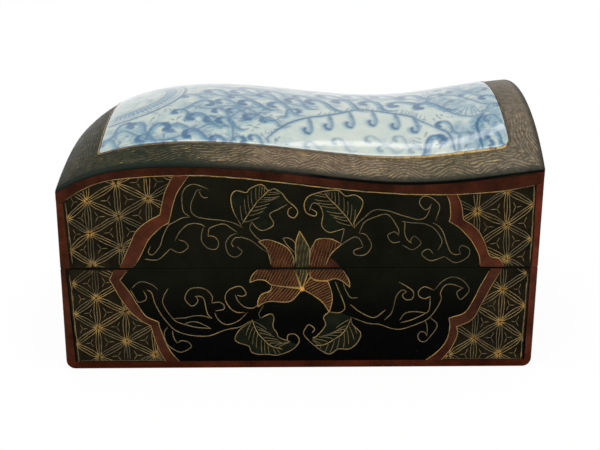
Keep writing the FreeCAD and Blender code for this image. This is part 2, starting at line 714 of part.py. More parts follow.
def make_brush(kind, across):
    """A bamboo handle with two node rings, a horn collar and a hair tip, lying along X."""
    handle, collar, tip = (size(f"{kind}_{piece}_length") for piece in ("handle", "collar", "tip"))
    handle_radius = size(f"{kind}_handle_radius")
    collar_radius = size(f"{kind}_collar_radius")
    total = f"({handle} + {collar} + {tip})"
    axis_height = f"{DECK} + sizes.round_gap + {collar_radius}"
    bevel = "sizes.handle_bevel"
    ring = f"{handle_radius} + sizes.node_ring_height"

    outline = [("0", "0"), ("0", f"{handle_radius} - {bevel}"), (bevel, handle_radius)]
    for place in ("sizes.node_first", "sizes.node_first + sizes.node_spacing"):
        outline += [(place, handle_radius), (place, ring),
                    (f"{place} + sizes.node_ring_width", ring),
                    (f"{place} + sizes.node_ring_width", handle_radius)]
    outline += [(handle, handle_radius), (handle, "0")]
    start = f"-{total} / 2"
    keep(turned_piece(f"{kind}_handle", outline, start, across, axis_height), f"brush_{kind}_handle")

    bevel = "sizes.collar_bevel"
    outline = [("0", "0"), ("0", f"{collar_radius} - {bevel}"), (bevel, collar_radius),
               (f"{collar} - {bevel}", collar_radius), (collar, f"{collar_radius} - {bevel}"), (collar, "0")]
    start = f"{start} + {handle}"
    keep(turned_piece(f"{kind}_collar", outline, start, across, axis_height), f"brush_{kind}_collar")

    belly = f"{collar_radius} - sizes.hair_belly"
    outline = [("0", "0"), ("0", f"{collar_radius} - sizes.hair_inset"),
               (size("hair_belly_at"), belly), (tip, "0")]
    start = f"{start} + {collar}"
    keep(turned_piece(f"{kind}_tip", outline, start, across, axis_height, {2: size("hair_round")}),
         f"brush_{kind}_tip")


# ---------------------------------------------------------------------------------------------
# Build
# ---------------------------------------------------------------------------------------------

make_base_boards()
make_base_inside()
make_lid_boards()
make_lid_top()
make_tray()
make_inkstone()
make_dropper()
make_ink_stick()
make_brush("large", f"{TRAY_IN_SIDE} - sizes.large_inset")
make_brush("small", f"{TROUGH_FRONT} + sizes.small_inset")

doc.recompute()
for item in doc.Objects:
    if {"Invalid", "Error"} & set(item.State):
        raise RuntimeError(f"{item.Name} failed: {item.State}")
for item in parts:
    if item.Shape.isNull() or not item.Shape.isValid() or not item.Shape.Solids:
        raise RuntimeError(f"{item.Label} has no valid solid")

os.makedirs("parts", exist_ok=True)
for item in parts:
    item.Shape.exportStep(f"parts/{item.Label}.step")
    box = item.Shape.optimalBoundingBox()
    print(f"{item.Label:24s} {item.Shape.Volume / 1000:8.2f} cm3  solids {len(item.Shape.Solids)}  "
          f"x {box.XMin:7.1f} {box.XMax:7.1f}  y {box.YMin:6.1f} {box.YMax:6.1f}  "
          f"z {box.ZMin:6.1f} {box.ZMax:6.1f}")
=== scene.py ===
# %% [markdown]
# # A lacquered ink box with a porcelain panel in its lid
# The box is a plain rectangular base with a lift-off lid. The lid waves along its length and arches
# from front to back, and a slab of blue-and-white porcelain is let into it, in a frame of carved
# lacquer. Inside is a lift-out tray with an inkstone, a water dropper, an ink stick and two brushes.
#
# The solid model comes first: it fixes where everything is and what moves. This lesson dresses it.

# %% Load the solid model and keep its size
import math

import bpy
import numpy as np
from mathutils import Matrix, Vector
from mathutils.geometry import tessellate_polygon


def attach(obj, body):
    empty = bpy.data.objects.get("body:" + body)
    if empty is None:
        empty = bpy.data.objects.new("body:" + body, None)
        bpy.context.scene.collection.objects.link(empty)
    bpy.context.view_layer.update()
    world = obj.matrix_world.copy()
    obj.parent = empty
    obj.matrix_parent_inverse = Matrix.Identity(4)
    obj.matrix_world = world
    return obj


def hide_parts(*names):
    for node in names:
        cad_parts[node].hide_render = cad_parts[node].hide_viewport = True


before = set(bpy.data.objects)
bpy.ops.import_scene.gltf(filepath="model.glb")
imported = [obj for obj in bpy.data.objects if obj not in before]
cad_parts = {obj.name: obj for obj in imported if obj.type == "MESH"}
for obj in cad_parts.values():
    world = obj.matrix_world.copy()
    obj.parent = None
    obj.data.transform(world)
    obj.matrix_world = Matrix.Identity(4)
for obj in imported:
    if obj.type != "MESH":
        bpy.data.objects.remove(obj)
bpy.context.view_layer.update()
MM = 0.001

# %% [markdown]
# ## The camera
# A camera is easiest to place from what it looks at: a target point, a distance, and the angles it
# looks down and sideways. Its own axes then follow by cross products. The focal length is given in
# picture widths, so that it doesn't depend on the size of the render.

# %% Camera
TARGET = Vector((1.68, 0, 58.43)) * MM
DISTANCE = 624.15 * MM
LOOK_DOWN, LOOK_ASIDE, ROLL = (math.radians(angle) for angle in (16.43, -1.32, 0.22))
FOCAL_IN_WIDTHS = 999 / 600

camera_data = bpy.data.cameras.new("camera")
camera_data.sensor_width = 36
camera_data.lens = camera_data.sensor_width * FOCAL_IN_WIDTHS
camera = bpy.data.objects.new("camera", camera_data)
bpy.context.scene.collection.objects.link(camera)
bpy.context.scene.camera = camera

backward = Vector((math.sin(LOOK_ASIDE) * math.cos(LOOK_DOWN),
                   -math.cos(LOOK_ASIDE) * math.cos(LOOK_DOWN), math.sin(LOOK_DOWN)))
level = (-backward).cross(Vector((0, 0, 1))).normalized()
upward = level.cross(-backward)
right = math.cos(ROLL) * level + math.sin(ROLL) * upward
above = math.cos(ROLL) * upward - math.sin(ROLL) * level
camera.matrix_world = (Matrix.Translation(TARGET + backward * DISTANCE)
                       @ Matrix((right, above, backward)).transposed().to_4x4())
print("camera at", [round(c, 3) for c in camera.matrix_world.translation])

# %% [markdown]
# ## Light, world and floor
# The box stands on a white sweep in soft studio light. Black lacquer shows what it reflects, and the
# porcelain shows the lamp above, so both want large, plain, soft sources.
#
# The world is pure white for rays that come from the camera or from a reflection, and dimmer for the
# light that it sheds. So the background is white without more light on the object.

# %% A small helper for node trees
def add_node(tree, kind, inputs=(), **settings):
    """A new node. inputs gives its sockets, by name or number, values or other nodes' sockets."""
    node = tree.nodes.new("ShaderNode" + kind)
    for name, value in settings.items():
        setattr(node, name, value)
    for key, value in dict(inputs).items():
        if isinstance(value, bpy.types.NodeSocket):
            tree.links.new(value, node.inputs[key])
        else:
            node.inputs[key].default_value = value
    return node


def sum_up(tree, kind, first, second=0.0, third=0.0):
    """One step of arithmetic on sockets or numbers."""
    return add_node(tree, "Math", {0: first, 1: second, 2: third}, operation=kind).outputs[0]


def times(tree, first, second):
    """The product of two sockets or numbers."""
    return sum_up(tree, "MULTIPLY", first, second)


def seen_directly(tree):
    """1 for rays from the camera, a reflection or a refraction, and 0 for scattered light."""
    path = add_node(tree, "LightPath").outputs
    seen = sum_up(tree, "MAXIMUM", path["Is Camera Ray"], path["Is Glossy Ray"])
    return sum_up(tree, "MAXIMUM", seen, path["Is Transmission Ray"])


# %% World
WORLD_LIGHT = 0.5
world = bpy.data.worlds.new("white_studio")
world.use_nodes = True
tree = world.node_tree
tree.nodes.clear()
shed = add_node(tree, "Background", {"Color": (0.96, 0.98, 1, 1), "Strength": WORLD_LIGHT})
seen = add_node(tree, "Background", {"Color": (1, 1, 1, 1)})
mixed = add_node(tree, "MixShader", {0: seen_directly(tree), 1: shed.outputs[0], 2: seen.outputs[0]})
add_node(tree, "OutputWorld", {0: mixed.outputs[0]})
bpy.context.scene.world = world
bpy.context.scene.view_settings.view_transform = "Standard"
print("world", WORLD_LIGHT)

# %% Lamps
def area_lamp(name, place, aim, sides, watts, colour=(1, 1, 1), along=(1, 0, 0)):
    """A soft lamp at place, turned towards aim. sides are its length and width, and along its long way."""
    data = bpy.data.lights.new(name, "AREA")
    data.shape = "RECTANGLE"
    data.size, data.size_y = sides
    data.energy, data.color = watts, colour
    back = (Vector(place) - Vector(aim)).normalized()
    across = back.cross(Vector(along)).normalized()
    lamp = bpy.data.objects.new(name, data)
    lamp.matrix_world = (Matrix.Translation(place)
                         @ Matrix((across.cross(back), across, back)).transposed().to_4x4())
    bpy.context.scene.collection.objects.link(lamp)


HEART = (0, 0, 0.06)
area_lamp("lamp_overhead", (0.05, -0.5, 1.25), HEART, (0.9, 0.9), 9, (1, 0.99, 0.97))
area_lamp("lamp_glint", (0.14, 0.3, 1.3), HEART, (0.55, 0.05), 0.36, (1, 0.9, 0.88), (0.2, 0.29, 0))
area_lamp("lamp_front_left", (-0.7, -1.1, 0.7), HEART, (0.6, 0.6), 6, (1, 0.98, 0.95))

# %% Floor
FLOOR_REACH = 6
NEAR, FAR = 0.14, 0.28
NEAR_GLOW, FAR_GLOW = 0.93, 1.0
floor_mesh = bpy.data.meshes.new("floor")
corners = [(FLOOR_REACH * x, FLOOR_REACH * y, 0) for x, y in ((-1, -1), (1, -1), (1, 1), (-1, 1))]
floor_mesh.from_pydata(corners, [], [(0, 1, 2, 3)])
floor = bpy.data.objects.new("floor", floor_mesh)
bpy.context.scene.collection.objects.link(floor)
floor_paint = bpy.data.materials.new("floor_paint")
floor_paint.use_nodes = True
tree = floor_paint.node_tree
tree.nodes.clear()
pale = add_node(tree, "BsdfDiffuse", {"Color": (0.95, 0.95, 0.95, 1)})
glow = add_node(tree, "Emission")
place = add_node(tree, "TexCoord").outputs["Object"]
away = add_node(tree, "VectorMath", {0: place}, operation="LENGTH").outputs["Value"]
fade = add_node(tree, "MapRange", {0: away, 1: NEAR, 2: FAR, 3: NEAR_GLOW, 4: FAR_GLOW})
share = times(tree, seen_directly(tree), fade.outputs[0])
mixed = add_node(tree, "MixShader", {0: share, 1: pale.outputs[0], 2: glow.outputs[0]})
add_node(tree, "OutputMaterial", {0: mixed.outputs[0]})
floor_mesh.materials.append(floor_paint)

# %% [markdown]
# ## The shape of the lid
# Everything on the lid follows one surface. Along the length it is a smooth curve through a few
# stations; across, it is a circular arch that stands on the top edge of the boards. A cubic spline
# through the stations gives the height and slope anywhere, so carved rails, bead and slab all share
# one function instead of being fitted to each other by eye.

# %% A smooth curve through a few points, and steps along a line
def smooth_curve(places, heights):
    """A cubic spline through the points, with no break in its third derivative next to the ends."""
    x, y = np.array(places, float), np.array(heights, float)
    step, n = np.diff(x), len(x)
    system, wanted = np.zeros((n, n)), np.zeros(n)
    for i in range(1, n - 1):
        system[i, i - 1:i + 2] = step[i - 1], 2 * (step[i - 1] + step[i]), step[i]
        wanted[i] = 6 * ((y[i + 1] - y[i]) / step[i] - (y[i] - y[i - 1]) / step[i - 1])
    system[0, :3] = step[1], -(step[0] + step[1]), step[0]
    system[-1, -3:] = step[-1], -(step[-2] + step[-1]), step[-2]
    bend = np.linalg.solve(system, wanted)

    def at(where):
        where = np.asarray(where, float)
        i = np.clip(np.searchsorted(x, where) - 1, 0, n - 2)
        a, b, h = x[i + 1] - where, where - x[i], step[i]
        return ((bend[i] * a ** 3 + bend[i + 1] * b ** 3) / (6 * h)
                + (y[i] / h - bend[i] * h / 6) * a + (y[i + 1] / h - bend[i + 1] * h / 6) * b)

    return at


def run_along(line):
    """How far along a line each of its points is."""
    return np.concatenate([[0], np.cumsum(np.hypot(*np.diff(line, axis=0).T))])


def points_at(where, run, line):
    """The points of a line at these distances along it."""
    return np.stack([np.interp(where, run, line[:, axis]) for axis in (0, 1)], -1)


def directions(angles):
    """Steps of one millimetre at these angles."""
    return np.stack([np.cos(angles), np.sin(angles)], -1)


# %% The lid's surface, in millimetres
HALF_LENGTH, HALF_DEPTH, SEAM = 130.0, 85.0, 59.0
RAIL_EDGE = 2.2
STATIONS = (-130, -112, -90, -58, -10, 56, 96, 130)
edge_height = smooth_curve(STATIONS, (100.9, 109.6, 114.1, 115.2, 111.9, 105.5, 108.0, 112.3))
arch_rise = smooth_curve(STATIONS, (15.6, 21.7, 26.0, 29.4, 30.4, 33.0, 35.8, 36.0))


def lid_height(x, y):
    """Height of the lid's top surface."""
    x = np.clip(x, -HALF_LENGTH, HALF_LENGTH)
    y = np.clip(y, -HALF_DEPTH, HALF_DEPTH)
    crown = arch_rise(x) - RAIL_EDGE
    radius = (HALF_DEPTH ** 2 + crown ** 2) / (2 * crown)
    return edge_height(x) + arch_rise(x) - radius + np.sqrt(radius ** 2 - y ** 2)


def on_lid(x, y, lift):
    """Points in space for places in plan, lifted off the lid's surface."""
    return np.stack([x, y, lid_height(x, y) + lift], -1)


print("lid at the middle", float(lid_height(0, 0)), "at the front edge", float(lid_height(0, -HALF_DEPTH)))

# %% [markdown]
# ## Helpers for meshes and finishes
# Most pieces here are grids of points bent over the lid's surface, so one helper turns arrays of
# points and faces into an object, and says which body it rides on, which finish it takes and which
# plain solid it stands for.

# %% Mesh helper
def make_piece(name, points, faces, material, body, stands_for=(), smooth=True, weights=None):
    """A mesh object from points in millimetres. weights are extra values to paint with, by name."""
    mesh = bpy.data.meshes.new(name)
    mesh.from_pydata((np.asarray(points, float) * MM).tolist(), [], faces)
    mesh.polygons.foreach_set("use_smooth", [smooth] * len(mesh.polygons))
    for label, values in (weights or {}).items():
        mesh.attributes.new(label, "FLOAT", "POINT").data.foreach_set("value", np.ravel(values))
    mesh.update()
    piece = bpy.data.objects.new(name, mesh)
    bpy.context.scene.collection.objects.link(piece)
    mesh.materials.append(material)
    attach(piece, body)
    if stands_for:
        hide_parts(*stands_for)


def grid_faces(rows, columns, first=0):
    """The quads of a grid of points that is stored row by row."""
    i, j = np.meshgrid(np.arange(rows - 1), np.arange(columns - 1), indexing="ij")
    a = (first + i * columns + j).ravel()
    return np.stack([a, a + columns, a + columns + 1, a + 1], -1).tolist()


# %% Material helpers
def new_finish(name, roughness, specular=0.5, metallic=0.0):
    """A material with one Principled shader, and short names for its parts."""
    material = bpy.data.materials.new(name)
    material.use_nodes = True
    shader = material.node_tree.nodes["Principled BSDF"]
    values = {"Roughness": roughness, "Specular IOR Level": specular, "Metallic": metallic}
    for label, value in values.items():
        shader.inputs[label].default_value = value
    return material, material.node_tree, shader


def place_on_object(tree, stretch=(1, 1, 1)):
    """The point on the object, in its own coordinates, stretched."""
    where = add_node(tree, "TexCoord").outputs["Object"]
    return add_node(tree, "Mapping", {"Vector": where, "Scale": stretch}).outputs[0]


def axes(tree):
    """The point's X, Y and Z, in metres."""
    return add_node(tree, "SeparateXYZ", {0: place_on_object(tree)}).outputs


def from_left(tree):
    """0 at the box's left end and 1 at its right end."""
    return sum_up(tree, "MULTIPLY_ADD", axes(tree)["X"], 1 / (2 * HALF_LENGTH * MM), 0.5)


def noise(tree, grain, detail=4.0, rough=0.55, stretch=(1, 1, 1)):
    """A noise whose blotches are about grain millimetres across."""
    inputs = {"Vector": place_on_object(tree, stretch), "Scale": 1 / (grain * MM), "Detail": detail,
              "Roughness": rough}
    return add_node(tree, "TexNoise", inputs).outputs["Fac"]


def ramp(tree, value, *stops):
    """Colours or greys along a value: stops are (position, (r, g, b)) or (position, grey)."""
    node = add_node(tree, "ValToRGB", {"Fac": value})
    elements = node.color_ramp.elements
    while len(elements) < len(stops):
        elements.new(0.5)
    for element, (position, colour) in zip(elements, stops):
        element.position = position
        element.color = (*colour, 1) if isinstance(colour, tuple) else (colour,) * 3 + (1,)
    return node.outputs["Color"]


def blend(tree, share, first, second, kind="MIX"):
    """A mix of two colours; either may be a socket or (r, g, b), and share a socket or a number."""
    first, second = ((*value, 1) if isinstance(value, tuple) else value for value in (first, second))
    return add_node(tree, "Mix", {0: share, 6: first, 7: second}, data_type="RGBA", blend_type=kind,
                    clamp_factor=True).outputs[2]


def tinted(tree, first, second):
    """One colour multiplied by another."""
    return blend(tree, 1.0, first, second, "MULTIPLY")


def painted(tree, label):
    """A value that was painted on the mesh's points."""
    return add_node(tree, "Attribute", attribute_name=label).outputs["Fac"]


def coat(tree, shader, colour, relief, depth, strength=1.0, roughness=None):
    """Gives the shader its colour, and tiny relief from a value: depth in millimetres."""
    bump = add_node(tree, "Bump", {"Height": relief, "Distance": depth * MM, "Strength": strength})
    tree.links.new(colour, shader.inputs["Base Color"])
    tree.links.new(bump.outputs[0], shader.inputs["Normal"])
    if roughness:
        tree.links.new(roughness, shader.inputs["Roughness"])


# %% [markdown]
# ## The porcelain slab
# The slab was cut from the wall of a large jar, which is why it curves two ways. Its glaze is a
# bluish white over cobalt brushwork. The painting could be an image, but then it would need one
# to load; here each brush stroke is a curve with a width, and every point of a fine mesh gets the
# strength of the strokes that pass over it. The material turns that into thin or thick cobalt.

# %% Brush strokes
SLAB_LEFT, SLAB_RIGHT, SLAB_SIDE = -108.2, 113.4, 71.2
SLAB_STEP = 0.5
columns = int(round((SLAB_RIGHT - SLAB_LEFT) / SLAB_STEP)) + 1
rows = int(round(2 * SLAB_SIDE / SLAB_STEP)) + 1
plan_x = np.linspace(SLAB_LEFT, SLAB_RIGHT, columns)
plan_y = np.linspace(-SLAB_SIDE, SLAB_SIDE, rows)
cobalt_line = np.zeros((columns, rows))
cobalt_wash = np.zeros((columns, rows))


def through(points, steps=8):
    """A smooth line through given points (Catmull-Rom)."""
    p = np.array(points, float)
    p = np.vstack([2 * p[0] - p[1], p, 2 * p[-1] - p[-2]])
    t = np.linspace(0, 1, steps, endpoint=False)[:, None]
    spans = [0.5 * (2 * b + (c - a) * t + (2 * a - 5 * b + 4 * c - d) * t ** 2
                    + (3 * b - a - 3 * c + d) * t ** 3)
             for a, b, c, d in zip(p, p[1:], p[2:], p[3:])]
    return np.vstack([*spans, p[-2]])


def brush(layer, line, width, strength=1.0, taper=(0.35, 0.35), soft=0.35):
    """Lays one stroke on a layer. It is width mm wide, thinner at its ends by taper."""
    line = np.asarray(line, float)
    run = np.linspace(0, 1, len(line))
    swell = np.minimum(1, taper[0] + run * 4) * np.minimum(1, taper[1] + (1 - run) * 4)
    reach = width / 2 + 2 * soft + 1
    for (x0, y0), (x1, y1), w0, w1 in zip(line, line[1:], swell, swell[1:]):
        i0, i1 = np.searchsorted(plan_x, (min(x0, x1) - reach, max(x0, x1) + reach))
        j0, j1 = np.searchsorted(plan_y, (min(y0, y1) - reach, max(y0, y1) + reach))
        if i0 == i1 or j0 == j1:
            continue
        px, py = np.meshgrid(plan_x[i0:i1], plan_y[j0:j1], indexing="ij")
        length = max((x1 - x0) ** 2 + (y1 - y0) ** 2, 1e-9)
        t = np.clip(((px - x0) * (x1 - x0) + (py - y0) * (y1 - y0)) / length, 0, 1)
        away = np.hypot(px - x0 - t * (x1 - x0), py - y0 - t * (y1 - y0))
        half = width / 2 * (w0 + (w1 - w0) * t)
        mark = strength * np.clip((half + soft - away) / (2 * soft), 0, 1)
        layer[i0:i1, j0:j1] = np.maximum(layer[i0:i1, j0:j1], mark)


PAINT = np.random.default_rng(3)


def hook(root, drop):
    """A small curl that hangs from a stem: a soft crescent with a darker back and a dark end."""
    shape = np.array([(0, 0), (0.9, -0.3), (1.5, -0.58), (1.3, -0.82), (0.1, -0.98), (-1.5, -0.96),
                      (-2.2, -0.8), (-1.6, -0.68)])
    line = through(shape * (1.15, drop) + root)
    brush(cobalt_wash, line - (0.9, 0), 3.4, 0.8, (0.3, 0.6), 1.2)
    brush(cobalt_line, line, 0.9, 0.75, (0.6, 0.6), 0.7)
    brush(cobalt_line, line[:12], 1.9, 0.85, (0.9, 0.1), 0.8)
    brush(cobalt_line, line[-28:], 1.9, 1.0, (0.3, 0.7), 0.7)


def crest(x, y, size=7.5, hand=1, strength=1.0):
    """A leaf that curls over like a breaking wave, with a dark drop under its tip."""
    tail = PAINT.uniform(-0.35, 0.25)
    shape = np.array([(-2.0, -0.95 + tail), (-1.45, -1.1 + 0.5 * tail), (-0.95, -0.8), (-0.65, -0.2),
                      (-0.1, 0.4), (0.5, 0.25), (0.68, -0.22), (0.3, -0.42)])
    shape *= (1.0, PAINT.uniform(0.85, 1.15))
    tilt = PAINT.uniform(-0.4, 0.4)
    shape = shape @ np.array([(math.cos(tilt), math.sin(tilt)), (-math.sin(tilt), math.cos(tilt))])
    wide = hand * size
    back = through(shape * (wide, size) + (x, y))
    brush(cobalt_wash, back + (0.1 * wide, -0.14 * size), 0.5 * size, strength, (0.15, 0.6), 1.0)
    brush(cobalt_line, back, 0.2 * size, 0.85 * strength, (0.15, 0.6), 0.6)
    brush(cobalt_line, back[-20:], 0.44 * size, strength, (0.2, 0.5), 0.5)
    for lift in (0.15, 0.45, 0.75):
        start = np.array([x - 0.9 * wide, y + (lift - 0.9) * size])
        brush(cobalt_line, [start, start + (-0.55 * wide, 0.34 * size)], 0.17 * size, 0.7 * strength)
        brush(cobalt_wash, [start, start + (-0.7 * wide, 0.2 * size)], 0.35 * size, 0.7 * strength, soft=1.0)


def dabs(count, low, high, strength):
    """Short strokes at all angles between two corners of a rectangle: small leaves and spikes."""
    for start in PAINT.uniform(low, high, (count, 2)):
        angle, length = PAINT.uniform(0, math.pi), PAINT.uniform(1.5, 4.5)
        end = start + length * np.array((math.cos(angle), math.sin(angle)))
        width, firmness = PAINT.uniform(0.7, 1.5), PAINT.uniform(0.5, 1)
        brush(cobalt_line, [start, (start + end) / 2 + 0.3, end], width, strength * firmness)


def spray(points, width=1.2, strength=0.8, wash=3.5):
    """A stem: a firm line with a broad soft one under it."""
    line = through(points)
    brush(cobalt_wash, line, wash, 0.8 * strength, soft=1.4)
    brush(cobalt_line, line, width, strength)
    return line


# %% The painted scroll: middle and front
stem = spray([(-18.4, -67.4), (-12.4, -59.3), (-4.6, -50.9), (6.1, -43.5), (12.3, -41.1), (24.7, -34.4),
              (34.4, -28.5), (43.2, -29.7), (56.7, -34.9), (63.0, -38.5), (66.8, -42.8), (75.4, -52.0)],
              1.5, 0.9)
for x, y, drop in ((5.2, -44.5, 15), (16.8, -38.5, 15.5), (29.0, -33.4, 17), (42.0, -29.5, 18),
                   (54.6, -34.0, 16.5), (65.0, -41.0, 13.5)):
    hook((x, y), drop)
for share in np.linspace(0.34, 0.95, 30):
    foot = stem[int(share * (len(stem) - 1))] + (0, 0.8)
    brush(cobalt_line, [foot, foot + (1.6, PAINT.uniform(3.0, 6.0))], 1.4, PAINT.uniform(0.7, 1.0))
for x, y, size in ((-97.8, -51.4, 6), (-88.5, -53.9, 7), (-77.4, -59, 8), (-67.1, -59.6, 7.5),
                   (-55.9, -50.1, 8), (-57.9, -64.7, 7), (-48, -52.8, 6), (-40.8, -53.8, 6.5),
                   (-35.2, -43.4, 7), (-26, -48.1, 7), (-17, -50.5, 6), (-27.9, -31.9, 8),
                   (-10.9, -31.8, 8), (-1.5, -22.5, 7.5), (-44.5, -69, 5.5), (-33.8, -69, 5.5),
                   (-24, -67, 5), (-41.8, -31.8, 7), (-54, -34.1, 7.5), (-33.1, -13.3, 8), (-18, -18, 7.5),
                   (-48, -14, 8), (-104, -64, 6), (-70, -71, 5), (-84, -66, 6), (-62, -22, 6.5),
                   (-36, -23, 6), (-4, -38, 6), (-14, -9, 7), (-29, -4, 7), (-44, -44, 5.5), (-66, -44, 6),
                   (2, -13, 6.5)):
    crest(x, y, size, PAINT.choice((-1, -1, -1, 1)), PAINT.uniform(0.85, 1.1))
dabs(190, (-105, -71), (-8, -36), 0.85)
dabs(170, (-62, -36), (10, 20), 0.7)
dabs(70, (10, -24), (78, 20), 0.6)
dabs(70, (66, -70), (111, -36), 0.8)
dabs(90, (72, -30), (112, 10), 0.8)
for x, y in ((11.2, -20.7), (27.3, -16.2), (43.2, -16.9), (58.9, -18.7), (73.8, -25.8), (18.2, -4.5),
             (34.9, 0.3), (51.3, 0.7), (66.8, -5.1)):
    crest(x, y, 8.6, -1, 1.1)
for x, y in ((39.6, -59.2), (55.4, -59.1), (21.5, -63.2), (6, -68), (46, -66), (63, -67)):
    crest(x, y, 5, -1, 0.42)
    brush(cobalt_wash, [(x - 4, y + 1), (x + 4, y)], 4, 0.3, soft=1.5)
for points in ([(-107, -66), (-97, -57), (-86, -66), (-74, -70), (-62, -66), (-50, -58), (-43, -50)],
               [(-36.8, -72.9), (-36.2, -66.3), (-37.1, -58.3), (-38.9, -52.9), (-33, -44), (-24, -38),
                (-14, -37)],
               [(-62, -38), (-50, -42), (-38, -38), (-27, -42), (-20, -50)],
               [(-66, -24), (-54, -20), (-42, -24), (-28, -20), (-14, -24), (0, -30), (10, -29)],
               [(-63, -6), (-50, -2), (-36, -6), (-22, -4), (-8, -10), (6, -12), (20, -12), (36, -8),
                (54, -8), (70, -14)],
               [(-33.4, -54.3), (-29, -52.4), (-24.1, -48.1), (-22, -44.6), (-16.4, -42.3)]):
    spray(points, 1.3, 0.75, 7.0)
print("front painted, darkest", cobalt_line.max())

# %% The painted scroll: medallion, lotus and the far half
centre = np.array((-100.0, -12.0))
for radius, width, strength in ((34.0, 2.0, 0.9), (31.2, 1.0, 0.6), (23.0, 1.3, 0.8), (20.5, 0.8, 0.5)):
    arc = directions(np.radians(np.linspace(-100, 100, 60)))
    brush(cobalt_line, centre + radius * arc, width, strength, (1, 1))
arc = directions(np.radians(np.linspace(-95, 95, 60)))
brush(cobalt_wash, centre + 26.0 * arc, 6.5, 0.8, (1, 1), 1.2)
for turn in np.radians(np.arange(-96, 97, 5.0)):
    way = np.array((math.cos(turn), math.sin(turn)))
    brush(cobalt_line, [centre + 23.5 * way, centre + 29.0 * way], 1.4, 0.85, (0.4, 0.8))
for x, y in ((-98, -8), (-90, -22), (-101, 6)):
    crest(x, y, 6.5, 1, 0.3)
LOTUS_HEART = np.array((98.0, -31.0))
lotus = through([(103.4, -45.3), (98.1, -46.7), (90, -43.5), (84.4, -37), (83.2, -30.4), (86.2, -26.5),
                 (94.9, -23.6)])
upper = through([(83, -13.9), (88.8, -15), (94.9, -22), (101.2, -30.4), (105.4, -35.6), (111.9, -37.5)])
for line in (lotus, upper, through([(83.8, -16.5), (90.3, -8.9), (96.2, -9), (101.4, -13.3), (106, -20)])):
    brush(cobalt_line, line, 1.1, 0.75)
    brush(cobalt_wash, line, 4.0, 0.55, soft=1.5)
for share in np.linspace(0.05, 0.95, 13):
    foot = lotus[int(share * (len(lotus) - 1))]
    rib = LOTUS_HEART - foot
    brush(cobalt_wash, [foot, foot + 0.8 * rib], 3.6, 0.8, soft=1.5)
    brush(cobalt_line, [foot, foot + 0.65 * rib], 1.0, 0.8)
for points in ([(76, -6), (90, -14), (104, -10), (112, -2)], [(70, -16), (80, -22), (92, -14), (111, -20)],
               [(104, -28), (110, -42), (107, -56), (110, -68)], [(86, -52), (92, -60), (90, -70)],
               [(72, 4), (86, 10), (98, 4), (112, 12)]):
    brush(cobalt_wash, through(points), 7.5, 0.75, soft=2.5)
spray([(103.4, -45.3), (98.5, -53.1), (98.2, -61.3), (98.8, -71)], 1.8, 1.1, 8.5)
spray([(75.4, -52), (82, -58), (84, -71)], 1.4, 0.8, 5.0)
for x, y, size, hand, strength in ((73.4, -62, 8, 1, 1.0), (81, -50, 6, -1, 0.9), (106, -63, 6, -1, 1.0),
                                   (90, -62, 6.5, 1, 0.7), (107, -50, 6, -1, 0.8), (101, -68, 5, 1, 0.9),
                                   (85, -24, 6, 1, 0.6), (80, -12, 7, 1, 1.0), (94, -8, 7, -1, 1.0),
                                   (106, -12, 6.5, 1, 1.0), (109, -27, 6, -1, 1.0), (98, -18, 5.5, -1, 0.9),
                                   (110, -38, 5, 1, 0.9), (88, 2, 7, -1, 0.9), (102, 4, 7, 1, 0.9)):
    crest(x, y, size, hand, strength)
for row, (y, shift) in enumerate(((14, 0), (29, 8), (44, 0), (59, 8))):
    for x in np.arange(-62 + shift, 108, 15.5):
        if x > -60 or y > 26:
            place = x + PAINT.uniform(-3, 3), y + PAINT.uniform(-3.5, 3.5)
            crest(*place, PAINT.uniform(5.5, 9), PAINT.choice((-1, -1, 1)), PAINT.uniform(0.7, 1.0))
    x = np.arange(-60, 110, 6.0)
    spray(np.stack([x, y - 8 + 2.5 * np.sin(x / 7 + row)], -1), 1.2, 0.75, 6.0)
for x in (-98, -84):
    for y in (34, 50, 64):
        crest(x, y, 7.5, 1, 0.85)
dabs(260, (-60, 8), (110, 70), 0.6)
dabs(30, (-106, 26), (-66, 70), 0.6)
print("whole slab painted, darkest", cobalt_line.max())

# %% The slab as a mesh
RIM = 0.8
LEFT_ROUND, RIGHT_ROUND = 2.0, 5.0
SLAB_PROUD, SLAB_UNDER = 0.6, -6.0


def rounded_plan(x, y, inset):
    """Points of a rectangular grid moved so that the slab's four corners are round, inset all round."""
    x = np.clip(x, SLAB_LEFT + inset, SLAB_RIGHT - inset)
    y = np.clip(y, -SLAB_SIDE + inset, SLAB_SIDE - inset)
    for side, end, radius in ((-1, SLAB_LEFT, LEFT_ROUND), (1, SLAB_RIGHT, RIGHT_ROUND)):
        dx = side * (x - (end - side * radius))
        dy = np.abs(y) - (SLAB_SIDE - radius)
        corner = (dx > 0) & (dy > 0)
        shrink = np.where(corner, np.maximum(dx, dy) / np.maximum(np.hypot(dx, dy), 1e-9), 1)
        x = np.where(corner, end - side * radius + side * dx * shrink, x)
        y = np.where(corner, np.sign(y) * (SLAB_SIDE - radius + dy * shrink), y)
    return x, y


grid_x, grid_y = np.meshgrid(plan_x, plan_y, indexing="ij")
top = on_lid(*rounded_plan(grid_x, grid_y, RIM), SLAB_PROUD).reshape(-1, 3)
border = ([(i, 0) for i in range(columns)] + [(columns - 1, j) for j in range(1, rows)]
          + [(i, rows - 1) for i in range(columns - 2, -1, -1)] + [(0, j) for j in range(rows - 2, 0, -1)])
border_index = np.array([i * rows + j for i, j in border])
outer_x, outer_y = (np.array(c) for c in zip(*[(plan_x[i], plan_y[j]) for i, j in border]))
